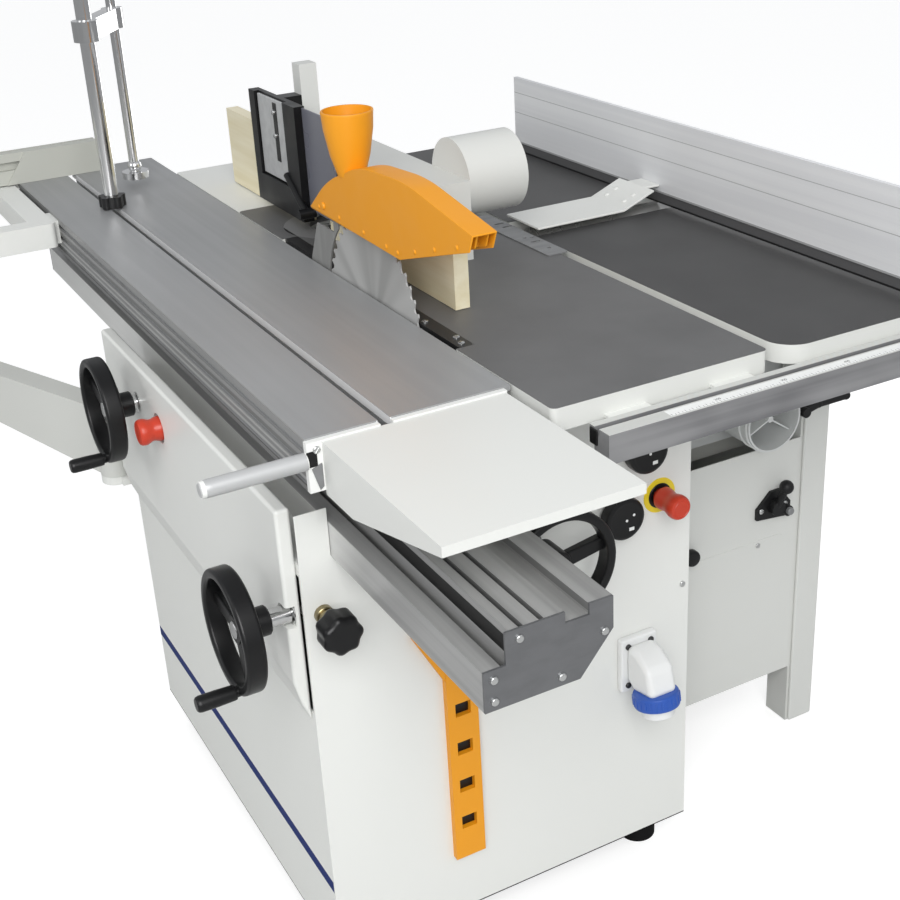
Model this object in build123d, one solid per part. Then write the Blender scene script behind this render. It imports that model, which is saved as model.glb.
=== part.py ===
from build123d import *

import os
from math import atan2, cos, hypot, radians, sin

# Combination woodworking machine: saw with sliding table, spindle moulder, planer and thicknesser.
# Millimetres. +X points right towards the planer, +Y is the feed direction, +Z is up.
# The sizes below count from the saw arbor and the cut line of the blade, above the floor.
# The finished pieces are set so that the origin lies on the floor, under the middle of the machine.

# Clearances
running_fit = 0.05
seat_gap = 0.3
free_gap = 2.0

# Levels and sheet metal
table_height = 870.0
sheet = 2.0
screw_head_radius = 4.5
screw_head_height = 3.0

# Saw cabinet
cabinet_left_reach = 270.0
cabinet_right = 312.0
cabinet_front = -325.0
cabinet_back = 432.0
foot_height = 50.0
foot_radius = 28.0
foot_inset = 52.0
cover_bottom_drop = 405.0
cover_top_drop = 135.0
cover_proud = 8.0
cover_corner_radius = 26.0
cover_margin = 8.0
shelf_thickness = 10.0
shelf_setback = 22.0

# Sliding table and its beam
blade_gap = 3.0
slide_width = 267.0
slide_front = -384.0
slide_length = 1400.0
slide_deck = 64.0
slide_wall = 9.0
slide_overhang = 40.0
slide_overhang_thickness = 7.0
slide_leg_height = 39.7
slide_leg_width = 14.0
slide_left_leg_offset = 1.0
slide_right_leg_inset = 13.5
slot_offset = 100.0
slot_width = 16.0
slot_lip = 12.0
slot_undercut = 28.0
slot_undercut_height = 14.0
side_groove = 8.0
beam_width = 154.0
beam_height = 86.0
beam_offset = 43.0
beam_front = -698.0
beam_length = 1723.0
beam_ledge_width = 21.0
beam_ledge_height = 48.0
beam_gap_width = 10.0
beam_chamfer_width = 41.0
beam_chamfer_height = 48.0
beam_groove_width = 29.0
beam_groove_depth = 13.0
beam_slot_width = 6.0
beam_slot_depth = 9.0
end_plate = 3.0
end_bracket = 8.0
handle_radius = 10.0
handle_length = 124.0
handle_drop = 25.0
cover_sheet = 3.0
front_cover_length = 283.0
front_cover_drop = 4.0
front_cover_left_margin = 19.0
front_cover_right_margin = 11.0
front_cover_flange = 66.0
front_cover_lip = 12.0

# Clamp on the sliding table
column_y = 702.0
column_radius = 13.0
column_height = 380.0
column_knob_radius = 24.0
column_knob_height = 20.0
column_knob_lobes = 5
clamp_arm_drop = 60.0
clamp_arm_reach = 136.0
clamp_arm_angle = 55.0
clamp_arm_height = 34.0
clamp_arm_width = 26.0
clamp_hub_wall = 9.0
clamp_screw_radius = 9.0
clamp_pad_radius = 24.0
clamp_pad_height = 12.0
clamp_pad_rise = 18.0
clamp_screw_length = 360.0
clamp_bar_length = 90.0
clamp_bar_radius = 6.0

# Outrigger, crosscut fence and swing arm
outrigger_right = -279.0
outrigger_front = 676.0
outrigger_width = 621.0
outrigger_depth = 400.0
outrigger_bar = 40.0
outrigger_height = 42.0
outrigger_drop = 2.0
outrigger_hook = 60.0
crosscut_y = 984.0
crosscut_depth = 30.0
crosscut_height = 58.0
crosscut_left = -880.0
crosscut_right = -112.0
crosscut_pin_radius = 6.0
crosscut_pin_length = 18.0
crosscut_plate = 4.0
crosscut_plate_width = 180.0
crosscut_plate_slant = 42.0
arm_pivot_x = -292.0
arm_pivot_y = 466.0
arm_drop = 260.0
arm_depth = 125.0
arm_tip_depth = 70.0
arm_width = 42.0
arm_length = 590.0
arm_angle = 113.0
arm_pin_radius = 12.0
arm_hub_radius = 26.0
arm_lug = 14.0
arm_post_radius = 14.0

# Saw unit
blade_radius = 150.0
blade_drop = 42.0
blade_body = 2.2
blade_x = 1.5
blade_teeth = 48
tooth_depth = 5.0
tooth_land_drop = 1.2
arbor_radius = 12.0
flange_radius = 29.0
flange_thickness = 7.0
nut_radius = 16.0
nut_length = 8.0
arbor_housing_radius = 24.0
arbor_housing_length = 74.0
saw_pulley_radius = 24.0
saw_motor_pulley_radius = 38.0
belt_width = 14.0
belt_thickness = 5.0
belt_gap = 8.0
belt_side_gap = 1.0
saw_motor_drop = 168.0
motor_foot_share = 0.65
motor_radius = 68.0
saw_motor_length = 150.0
motor_shaft_radius = 12.0
motor_plate = 6.0
lift_rod_x = 60.0
lift_rod_y = 170.0
lift_rod_radius = 12.0
lift_sleeve_wall = 8.0
lift_beam_width = 44.0
lift_beam_height = 50.0
carriage_drop = 1.0
trunnion_inner = 80.0
trunnion_outer = 110.0
trunnion_y = 193.0
trunnion_thickness = 12.0
trunnion_start = -70.0
trunnion_sweep = 55.0
shoe_thickness = 12.0
shoe_overlap = 1.0
shoe_start = -44.0
shoe_sweep = 26.0
trunnion_depth = 330.0
trunnion_tie = 20.0
knife_gap = 5.0
knife_thickness = 2.4
knife_back = 217.0
knife_shoulder_rise = 64.0
knife_shoulder_back = 183.0
knife_tongue_back = 121.0
knife_tongue_width = 17.0
knife_tongue_rise = 119.0
knife_foot = 40.0

# Blade guard
guard_width = 34.0
guard_wall = 4.0
guard_roof = 6.0
guard_pivot_y = 114.0
guard_pivot_rise = 108.0
guard_pin_radius = 4.0
guard_heel_y = 165.0
guard_heel_rise = 96.0
guard_belly_y = -128.0
guard_belly_rise = 90.0
guard_chin_y = -277.0
guard_chin_rise = 136.0
guard_lip_y = -320.0
guard_lip_rise = 149.0
guard_tip_y = -330.0
guard_tip_rise = 172.0
guard_brow_y = -154.0
guard_brow_rise = 200.0
guard_crown_y = -20.0
guard_crown_rise = 192.0
guard_nape_y = 96.0
guard_nape_rise = 148.0
spout_y = 42.0
spout_base_rise = 164.0
spout_top_rise = 255.0
spout_base_radius = 19.0
spout_top_radius = 30.0
spout_wall = 3.0

# Saw table
saw_table_width = 313.0
saw_table_front = -473.0
saw_table_length = 1007.0
table_plate = 12.0
table_rim_height = 30.0
table_rim = 12.0
table_corner_radius = 8.0
insert_front = -244.0
insert_length = 580.0
insert_width = 21.0
insert_thickness = 8.0
insert_ledge = 10.0
insert_blade_gap = 5.0
rear_table_length = 336.0
rear_table_thickness = 26.0
rear_table_step = 1.0

# Spindle moulder
spindle_x = 110.0
spindle_y = 367.0
ring_radius = 88.0
ring_hole_radius = 46.0
boss_wall = 12.0
boss_length = 158.0
quill_radius = 40.0
quill_length = 200.0
quill_drop = 110.0
spindle_radius = 17.0
spindle_nose_radius = 15.0
spindle_nose_drop = 5.0
spindle_pulley_radius = 45.0
spindle_pulley_height = 30.0
board_x = 66.0
board_thickness = 22.0
board_gap = 1.0
near_board_front = -123.0
near_board_length = 413.0
near_board_height = 95.0
far_board_front = 400.0
far_board_length = 328.0
far_board_height = 135.0
hood_flange = 5.0
hood_flange_height = 60.0
hood_front = 60.0
hood_length = 440.0
hood_width = 108.0
hood_height = 120.0
hood_wall = 5.0
hood_post = 30.0
hood_post_height = 130.0
port_y = 120.0
port_drop = 8.0
port_radius = 60.0
port_length = 100.0
port_wall = 4.0
cutter_guard_front = 345.0
cutter_guard_length = 195.0
cutter_guard_thickness = 18.0
cutter_guard_height = 185.0
cutter_guard_gap = 4.0
cutter_arm = 28.0

# Front rail
rail_left = 40.0
rail_length = 740.0
rail_depth = 40.0
rail_height = 38.0
rail_drop = 22.0
rail_standoff = 15.0
rail_bracket_width = 60.0
rail_groove = 10.0

# Planer and thicknesser
planer_left = 335.0
planer_width = 330.0
infeed_front = -479.0
planer_table = 26.0
planer_corner_radius = 40.0
infeed_drop = 3.0
cutter_y = 150.0
cutter_radius = 35.0
cutter_journal_radius = 15.0
lip_gap = 42.0
outfeed_length = 520.0
cheek = 14.0
cheek_inset = 2.0
roller_radius = 14.0
roller_journal_radius = 8.0
roller_spacing = 60.0
roller_drop = 20.0
cutter_pulley_radius = 28.0
cutter_pulley_gap = 3.0
planer_front = -179.0
planer_depth = 658.0
planer_panel_width = 306.0
planer_column = 53.0
planer_leg_depth = 50.0
planer_panel_bottom = 113.0
planer_panel_drop = 322.0
planer_sheet = 4.0
planer_rail_height = 12.0
tie_height = 40.0
bed_drop = 330.0
bed_thickness = 34.0
bed_front = -85.0
bed_length = 470.0
bed_screw_radius = 20.0
bed_screw_length = 160.0
bed_travel = 170.0
nut_bar = 40.0
planer_motor_y = 330.0
planer_motor_z = 200.0
planer_motor_length = 170.0
planer_motor_pulley_radius = 40.0
hinge_x = 690.0
hinge_drop = 20.0
hinge_y = 460.0
hinge_pin_radius = 8.0
hinge_ear = 12.0
hinge_boss_radius = 14.0
fence_face_x = 586.0
fence_front = -480.0
fence_length = 1070.0
fence_plate = 8.0
fence_height = 140.0
fence_strip = 18.0
fence_rib_bottom = 59.0
fence_rib_height = 70.0
fence_rib_depth = 28.0
fence_rib_wall = 4.0
fence_lift = 0.4
fence_pivot_gap = 2.0
fence_bracket_width = 80.0
fence_bracket_height = 15.0
bridge_front = 104.0
bridge_depth = 98.0
bridge_lift = 4.0
bridge_thickness = 8.0
bridge_flat_end = 500.0
bridge_tip_rise = 24.0
bridge_tip_length = 62.0
spigot_x = 545.0
spigot_drop = 252.0
spigot_radius = 50.0
spigot_wall = 3.0
spigot_front = -226.0
hood_plate_y = -120.0
hood_plate = 4.0

# Controls
wheel_radius = 80.0
wheel_rim = 13.0
wheel_rim_depth = 26.0
wheel_rim_round = 4.5
wheel_dish = 8.0
wheel_hub_radius = 19.0
wheel_hub_length = 34.0
wheel_spoke = 11.0
wheel_spokes = 3
wheel_shaft_radius = 8.0
wheel_shaft_inside = 28.0
grip_radius = 10.5
grip_length = 66.0
front_wheel_x = 53.0
front_wheel_drop = 261.0
front_wheel_standoff = 70.0
front_grip_angle = 250.0
low_wheel_y = -303.0
low_wheel_drop = 263.0
low_wheel_standoff = 75.0
low_grip_angle = -70.0
high_wheel_y = 252.0
high_wheel_drop = 179.0
high_wheel_standoff = 65.0
high_grip_angle = -80.0
stop_radius = 20.0
stop_head = 24.0
stop_stem_radius = 11.0
stop_standoff = 27.0
stop_travel = 6.0
stop_inside = 8.0
front_stop_x = 259.0
front_stop_drop = 250.0
side_stop_y = 151.0
side_stop_drop = 185.0
knob_radius = 31.0
knob_height = 18.0
knob_standoff = 6.0
knob_stem_radius = 5.0
low_knob_x = 188.0
low_knob_drop = 257.0
high_knob_x = 226.0
high_knob_drop = 168.0
lock_x = -245.0
lock_drop = 265.0
lock_radius = 27.5
lock_height = 36.0
lock_standoff = 30.0
lock_shaft_radius = 7.0
inlet_x = 218.5
inlet_drop = 501.5
inlet_plate_width = 61.0
inlet_plate_height = 87.0
inlet_plate = 12.0
inlet_body_radius = 24.0
inlet_reach = 34.0
inlet_body_length = 28.0
inlet_collar_radius = 34.0
inlet_collar_length = 32.0
inlet_socket_radius = 20.0
inlet_tilt = 12.0
holder_left = -89.0
holder_width = 46.0
holder_drop = 344.0
holder_height = 376.0
holder_thickness = 10.0
holder_slots = 5
lever_x = 588.0
lever_drop = 427.0
lever_plate = 6.0
lever_hub_radius = 13.0
lever_shaft_radius = 6.0
lever_length = 40.0
lever_ball_radius = 11.5
clamp_lever_x = 614.0
clamp_lever_drop = 258.0
clamp_lever_length = 84.0
clamp_lever_radius = 6.5
clamp_lever_stem = 8.0


# Levels that follow from the sizes above
cabinet_left = -cabinet_left_reach
slide_right = -blade_gap
slide_left = slide_right - slide_width
slide_back = slide_front + slide_length
deck_bottom = table_height - slide_deck
leg_bottom = deck_bottom - slide_leg_height
beam_top = leg_bottom - seat_gap
beam_bottom = beam_top - beam_height
beam_left = slide_left + beam_offset
beam_right = beam_left + beam_width
beam_back = beam_front + beam_length
slot_x = slide_left + slot_offset
left_leg_x = slot_x + slide_left_leg_offset
right_leg_x = beam_right - slide_right_leg_inset
table_under = table_height - table_rim_height
plate_under = table_height - table_plate
saw_table_back = saw_table_front + saw_table_length
floor_top = foot_height + 2 * sheet
shelf_right = beam_right - shelf_setback
arbor_z = table_height - blade_drop
saw_motor_z = arbor_z - saw_motor_drop
outrigger_top = table_height - outrigger_drop
outrigger_under = outrigger_top - outrigger_height
infeed_top = table_height - infeed_drop
infeed_under = infeed_top - planer_table
outfeed_under = table_height - planer_table
cheek_top = infeed_under - seat_gap
planer_right = planer_left + planer_width
base_right = planer_left + planer_panel_width + planer_column
planer_back = planer_front + planer_depth
cutter_z = table_height - cutter_radius
roller_z = cutter_z - roller_drop
left_cheek = planer_left + cheek_inset
right_cheek = planer_right - cheek_inset - cheek
rail_back = saw_table_front - rail_standoff
rail_top = table_height - rail_drop
cover_face = cabinet_left - cover_proud
cover_bottom = table_height - cover_bottom_drop
cover_top = table_height - cover_top_drop
front_wheel_z = table_height - front_wheel_drop
low_wheel_z = table_height - low_wheel_drop
high_wheel_z = table_height - high_wheel_drop
front_stop_z = table_height - front_stop_drop
side_stop_z = table_height - side_stop_drop
low_knob_z = table_height - low_knob_drop
high_knob_z = table_height - high_knob_drop
lock_z = table_height - lock_drop
inlet_z = table_height - inlet_drop
holder_top = table_height - holder_drop
lever_z = table_height - lever_drop
arm_top = table_height - arm_drop
bed_top = table_height - bed_drop
planer_panel_top = table_height - planer_panel_drop
spigot_z = table_height - spigot_drop
clamp_lever_z = table_height - clamp_lever_drop
trunnion_bottom = table_height - trunnion_depth
knife_shoulder = table_height + knife_shoulder_rise
knife_tongue_top = table_height + knife_tongue_rise
guard_pivot_z = table_height + guard_pivot_rise
spout_base_z = table_height + spout_base_rise
spout_top_z = table_height + spout_top_rise
hinge_z = table_height - hinge_drop
board_bottom = table_height + board_gap
hood_left = board_x + board_thickness
hood_top = table_height + hood_height


def block(x0, x1, y0, y1, z0, z1):
    centre = Pos((x0 + x1) / 2, (y0 + y1) / 2, (z0 + z1) / 2)
    return centre * Box(x1 - x0, y1 - y0, z1 - z0)


def rod(start, end, radius, end_radius=None):
    axis = Vector(*end) - Vector(*start)
    place = Plane(origin=start, z_dir=axis)
    seat = (Align.CENTER, Align.CENTER, Align.MIN)
    if end_radius is None:
        return place * Cylinder(radius, axis.length, align=seat)
    return place * Cone(radius, end_radius, axis.length, align=seat)


def rod_x(x0, x1, y, z, radius):
    return rod((x0, y, z), (x1, y, z), radius)


def rod_y(x, y0, y1, z, radius):
    return rod((x, y0, z), (x, y1, z), radius)


def rod_z(x, y, z0, z1, radius):
    return rod((x, y, z0), (x, y, z1), radius)


def prism(points, direction):
    face = make_face(Polyline(*points, close=True))
    push = Vector(*direction)
    return extrude(face, amount=push.length, dir=push)


def prism_x(outline, x0, x1):
    return prism([(x0, y, z) for y, z in outline], (x1 - x0, 0, 0))


def prism_y(outline, y0, y1):
    return prism([(x, y0, z) for x, z in outline], (0, y1 - y0, 0))


def prism_z(outline, z0, z1):
    return prism([(x, y, z0) for x, y in outline], (0, 0, z1 - z0))


# Loop round two pulleys whose shafts run along X
def belt_loop(x0, x1, first, first_radius, second, second_radius):
    def hull(grow):
        r1 = first_radius + grow
        r2 = second_radius + grow
        span = hypot(second[0] - first[0], second[1] - first[1])
        heading = atan2(second[1] - first[1], second[0] - first[0])
        spread = atan2((span**2 - (r1 - r2) ** 2) ** 0.5, r1 - r2)

        def spot(centre, radius, angle):
            return (x0, centre[0] + radius * cos(angle), centre[1] + radius * sin(angle))

        upper = heading + spread
        lower = heading - spread
        far_arc = ThreePointArc(
            spot(second, r2, lower), spot(second, r2, heading), spot(second, r2, upper)
        )
        near_arc = ThreePointArc(
            spot(first, r1, upper), spot(first, r1, heading + radians(180)), spot(first, r1, lower)
        )
        top = Line(far_arc @ 1, near_arc @ 0)
        bottom = Line(near_arc @ 1, far_arc @ 0)
        return make_face([far_arc, top, near_arc, bottom])

    outside = extrude(hull(seat_gap + belt_thickness), amount=x1 - x0, dir=(1, 0, 0))
    inside = extrude(hull(seat_gap), amount=x1 - x0, dir=(1, 0, 0))
    return outside - inside


# Ring segment about an axis along Y, angles in degrees above +X
def arc_segment(x, z, inner, outer, start, sweep, y0, y1):
    ring = rod_y(x, y0, y1, z, outer) - rod_y(x, y0, y1, z, inner)
    reach = 4 * outer
    corners = [(x, z)]
    for share in (0.0, 0.5, 1.0):
        angle = radians(start + share * sweep)
        corners.append((x + reach * cos(angle), z + reach * sin(angle)))
    return ring & prism_y(corners, y0, y1)


# Welded saw cabinet: floor pan, feet, lower left, right and rear walls, beam shelf, arm lugs
def make_cabinet_body():
    body = block(cabinet_left, cabinet_right, cabinet_front, cabinet_back, foot_height, floor_top)
    for x in (cabinet_left + foot_inset, cabinet_right - foot_inset):
        for y in (cabinet_front + foot_inset, cabinet_back - foot_inset):
            body += rod_z(x, y, 0, foot_height, foot_radius)
    inner_front = cabinet_front + sheet
    right_wall = cabinet_right - sheet
    rear_wall = cabinet_back - sheet
    body += block(right_wall, cabinet_right, inner_front, cabinet_back, floor_top, table_under)
    shelf_bottom = beam_bottom - shelf_thickness
    body += block(cabinet_left, right_wall, rear_wall, cabinet_back, floor_top, shelf_bottom)
    body += block(free_gap, right_wall, rear_wall, cabinet_back, shelf_bottom, table_under)
    body += block(cabinet_left, shelf_right, inner_front, cabinet_back, shelf_bottom, beam_bottom)
    web_left = shelf_right - 2 * sheet
    front_web = -blade_radius - foot_inset
    rear_web = blade_radius + foot_inset
    body += block(web_left, shelf_right, inner_front, front_web, floor_top, shelf_bottom)
    body += block(web_left, shelf_right, rear_web, rear_wall, floor_top, shelf_bottom)
    wall_top = cover_bottom - free_gap
    body += block(
        cabinet_left, cabinet_left + sheet, inner_front, cabinet_back, floor_top, wall_top
    )
    body += block(
        cabinet_left, cabinet_left + sheet, inner_front, cabinet_back, wall_top, shelf_bottom
    ) - block(
        cabinet_left, cabinet_left + sheet,
        inner_front + sheet, cabinet_back - 4 * cover_margin,
        wall_top, shelf_bottom - cover_margin,
    )
    body -= rod_x(
        cabinet_left, cabinet_left + stop_travel + free_gap, side_stop_y, side_stop_z,
        stop_stem_radius + free_gap,
    )
    for z in (arm_top + seat_gap, arm_top - arm_depth - seat_gap - arm_lug):
        lug = block(
            arm_pivot_x, cabinet_left + arm_hub_radius,
            cabinet_back, arm_pivot_y + arm_hub_radius, z, z + arm_lug,
        )
        lug += rod_z(arm_pivot_x, arm_pivot_y, z, z + arm_lug, arm_hub_radius)
        body += lug - block(
            arm_pivot_x - arm_hub_radius, cabinet_right,
            cabinet_front, cabinet_back, z, z + arm_lug,
        )
    pin_bottom = arm_top - arm_depth - seat_gap - arm_lug
    body += rod_z(
        arm_pivot_x, arm_pivot_y, pin_bottom, arm_top + seat_gap + arm_lug, arm_pin_radius
    )
    return body


# Front panel: stepped round the beam, drilled for the controls
def make_front_panel():
    outline = [
        (cabinet_left, floor_top),
        (cabinet_right, floor_top),
        (cabinet_right, table_under),
        (free_gap, table_under),
        (free_gap, beam_bottom),
        (cabinet_left, beam_bottom),
    ]
    back = cabinet_front + sheet
    panel = prism_y(outline, cabinet_front, back)
    holes = (
        (front_wheel_x, front_wheel_z, wheel_shaft_radius),
        (front_stop_x, front_stop_z, stop_stem_radius),
        (low_knob_x, low_knob_z, knob_stem_radius),
        (high_knob_x, high_knob_z, knob_stem_radius),
        (lock_x, lock_z, lock_shaft_radius),
    )
    for x, z, radius in holes:
        panel -= rod_y(x, cabinet_front, back, z, radius + running_fit)
    return panel


# Upper left cover: a pressed tray with its top edge bent in
def make_left_upper_cover():
    front = cabinet_front + cover_margin
    back = cabinet_back - cover_margin
    tray = block(cover_face, cabinet_left, front, back, cover_bottom, cover_top)
    lower = tray.edges().filter_by(Axis.X).group_by(Axis.Z)[0]
    tray = fillet(lower, cover_corner_radius)
    face = tray.faces().sort_by(Axis.X)[0]
    tray = fillet(face.edges(), cover_proud - sheet)
    hollow = block(
        cover_face + sheet, cabinet_left,
        front + cover_proud, back - cover_proud,
        cover_bottom + cover_proud, cover_top - cover_proud,
    )
    tray -= hollow
    holes = (
        (low_wheel_y, low_wheel_z, wheel_shaft_radius),
        (high_wheel_y, high_wheel_z, wheel_shaft_radius),
        (side_stop_y, side_stop_z, stop_stem_radius),
    )
    for y, z, radius in holes:
        tray -= rod_x(cover_face, cabinet_left, y, z, radius + running_fit)
    return tray


def beam_outline():
    ledge_top = beam_bottom + beam_ledge_height
    ledge_in = beam_left + beam_ledge_width
    ridge_left = ledge_in + beam_gap_width
    gap_bottom = beam_bottom + beam_ledge_height / 2
    return [
        (beam_left, beam_bottom),
        (beam_right - beam_chamfer_width, beam_bottom),
        (beam_right, beam_bottom + beam_chamfer_height),
        (beam_right, beam_top),
        (ridge_left, beam_top),
        (ridge_left, gap_bottom),
        (ledge_in, gap_bottom),
        (ledge_in, ledge_top),
        (beam_left, ledge_top),
    ]


def beam_groove(y0, y1):
    right = beam_right - beam_groove_width
    return block(right - beam_groove_width, right, y0, y1, beam_top - beam_groove_depth, beam_top)


def make_slide_beam():
    beam = prism_y(beam_outline(), beam_front, beam_back)
    beam -= beam_groove(beam_front, beam_back)
    first_slot = beam_left + beam_ledge_width + beam_gap_width + 2 * beam_slot_width
    for x in (first_slot, beam_right - 3 * beam_groove_width):
        beam -= block(
            x, x + beam_slot_width, beam_front, beam_back, beam_top - beam_slot_depth, beam_top
        )
    return beam


def end_plate_outline():
    ledge_top = beam_bottom + beam_ledge_height
    ledge_in = beam_left + beam_ledge_width
    ridge_left = ledge_in + beam_gap_width / 2
    return [
        (beam_left, beam_bottom),
        (beam_right - beam_chamfer_width, beam_bottom),
        (beam_right, beam_bottom + beam_chamfer_height),
        (beam_right, beam_top),
        (ridge_left, beam_top),
        (ridge_left, ledge_top),
        (beam_left, ledge_top),
    ]


def make_beam_end_plates():
    front = prism_y(end_plate_outline(), beam_front - end_plate, beam_front)
    front -= beam_groove(beam_front - end_plate, beam_front)
    back = prism_y(end_plate_outline(), beam_back, beam_back + end_plate)
    return Compound(children=[Part(front.wrapped), Part(back.wrapped)])


# Pan-head screws on the beam ends, the inlet plate and the panels
def make_panel_screws():
    inset = 2.5 * screw_head_radius
    beam_spots = [
        (beam_left + inset, beam_bottom + inset),
        (beam_left + inset, beam_bottom + beam_ledge_height - inset),
        (beam_right - beam_chamfer_width - 2 * inset, beam_bottom + inset),
        (beam_right - inset, beam_bottom + beam_chamfer_height),
        (beam_left + beam_ledge_width + beam_gap_width + inset, beam_top - inset),
    ]
    heads = []

    def head(x, y, z, outward):
        screw = rod_y(x, y, y + outward * screw_head_height, z, screw_head_radius)
        rims = screw.edges().filter_by(GeomType.CIRCLE).sort_by(Axis.Y)
        outer = rims[-1] if outward > 0 else rims[0]
        heads.append(fillet(outer, screw_head_height / 2))

    for x, z in beam_spots:
        head(x, beam_front - end_plate, z, -1)
        head(x, beam_back + end_plate, z, 1)
    for side in (-1, 1):
        for level in (-1, 1):
            x = inlet_x + side * (inlet_plate_width / 2 - inset)
            z = inlet_z + level * (inlet_plate_height / 2 - inset)
            head(x, cabinet_front - inlet_plate, z, -1)
    head(cabinet_right - inset, cabinet_front, cover_bottom, -1)
    head(base_right - planer_column - 7 * inset, planer_front, lever_z - 6 * inset, -1)
    head(planer_left + inset, planer_front, lever_z - 6 * inset, -1)
    return Compound(children=[Part(item.wrapped) for item in heads])


# Cast saw table with rim, trunnion shoes, spindle boss and the insert ledge
def make_saw_table():
    table = block(0, saw_table_width, saw_table_front, saw_table_back, table_under, table_height)
    corners = table.edges().filter_by(Axis.Z)
    table = fillet(corners, table_corner_radius)
    table -= block(
        table_rim, saw_table_width - table_rim,
        saw_table_front + table_rim, saw_table_back - table_rim,
        table_under, plate_under,
    )
    insert_back = insert_front + insert_length
    insert_right = insert_blade_gap + insert_width
    pocket_right = insert_right + seat_gap
    table -= block(
        0, pocket_right, insert_front - seat_gap, insert_back + seat_gap,
        table_height - insert_thickness, table_height,
    )
    table -= block(
        0, insert_right - insert_ledge, insert_front, insert_back, table_under, table_height
    )
    table -= rod_z(
        spindle_x, spindle_y, table_height - insert_thickness, table_height,
        ring_radius + seat_gap,
    )
    boss_outer = quill_radius + running_fit + boss_wall
    boss_bottom = plate_under - boss_length
    table += rod_z(spindle_x, spindle_y, boss_bottom, plate_under, boss_outer)
    for y in (trunnion_y, -trunnion_y - trunnion_thickness):
        table += trunnion_shoe(y)
    bore = quill_radius + running_fit
    table -= rod_z(spindle_x, spindle_y, boss_bottom, plate_under, bore)
    table -= rod_z(spindle_x, spindle_y, plate_under, table_height, ring_hole_radius)
    return table


def trunnion_shoe(y):
    inner = trunnion_outer + seat_gap
    outer = inner + shoe_thickness
    shoe = arc_segment(
        0, table_height, inner, outer, shoe_start, shoe_sweep, y, y + trunnion_thickness
    )
    top_angle = radians(shoe_start + shoe_sweep)
    low_angle = radians(shoe_start + shoe_sweep / 2)
    foot = [
        (inner * cos(top_angle), table_height + inner * sin(top_angle)),
        (inner * cos(low_angle) + shoe_overlap, table_height + (inner + shoe_overlap) * sin(low_angle)),
        (outer * cos(low_angle), table_height + outer * sin(low_angle)),
        (outer * cos(top_angle) + shoe_thickness, plate_under),
        (inner * cos(top_angle), plate_under),
    ]
    web = prism_y(foot, y, y + trunnion_thickness)
    clear = rod_y(0, y, y + trunnion_thickness, table_height, inner)
    return shoe + (web - clear)


# Black strip beside the blade and the ring round the spindle
def make_table_inserts():
    bottom = table_height - insert_thickness
    strip = block(
        insert_blade_gap, insert_blade_gap + insert_width,
        insert_front, insert_front + insert_length, bottom, table_height,
    )
    front_edges = strip.edges().filter_by(Axis.Z).group_by(Axis.Y)[0]
    strip = fillet(front_edges, insert_width / 4)
    ring = rod_z(spindle_x, spindle_y, bottom, table_height, ring_radius)
    ring -= rod_z(spindle_x, spindle_y, bottom, table_height, ring_hole_radius)
    return Compound(children=[Part(strip.wrapped), Part(ring.wrapped)])


def make_rear_table():
    top = table_height - rear_table_step
    back = saw_table_back + rear_table_length
    plate = block(
        0, saw_table_width, saw_table_back, back, top - rear_table_thickness, top
    )
    return fillet(plate.edges().filter_by(Axis.Z).group_by(Axis.Y)[-1], table_corner_radius)


# Aluminium rail for the rip fence, on stand-off brackets
def make_front_rail():
    front = rail_back - rail_depth
    right = rail_left + rail_length
    rail = block(rail_left, right, front, rail_back, rail_top - rail_height, rail_top)
    middle = (front + rail_back) / 2
    rail -= block(
        rail_left, right, middle, middle + rail_groove, rail_top - rail_groove, rail_top
    )
    rail -= block(
        rail_left, right, rail_back - rail_groove, rail_back,
        rail_top - rail_height, rail_top - rail_height / 2,
    )
    bracket_top = rail_top - free_gap
    for x in (rail_left + rail_bracket_width / 2, saw_table_width - 1.5 * rail_bracket_width):
        rail += block(
            x, x + rail_bracket_width, rail_back - rail_groove, saw_table_front,
            table_under + free_gap, bracket_top,
        )
    return rail


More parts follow.
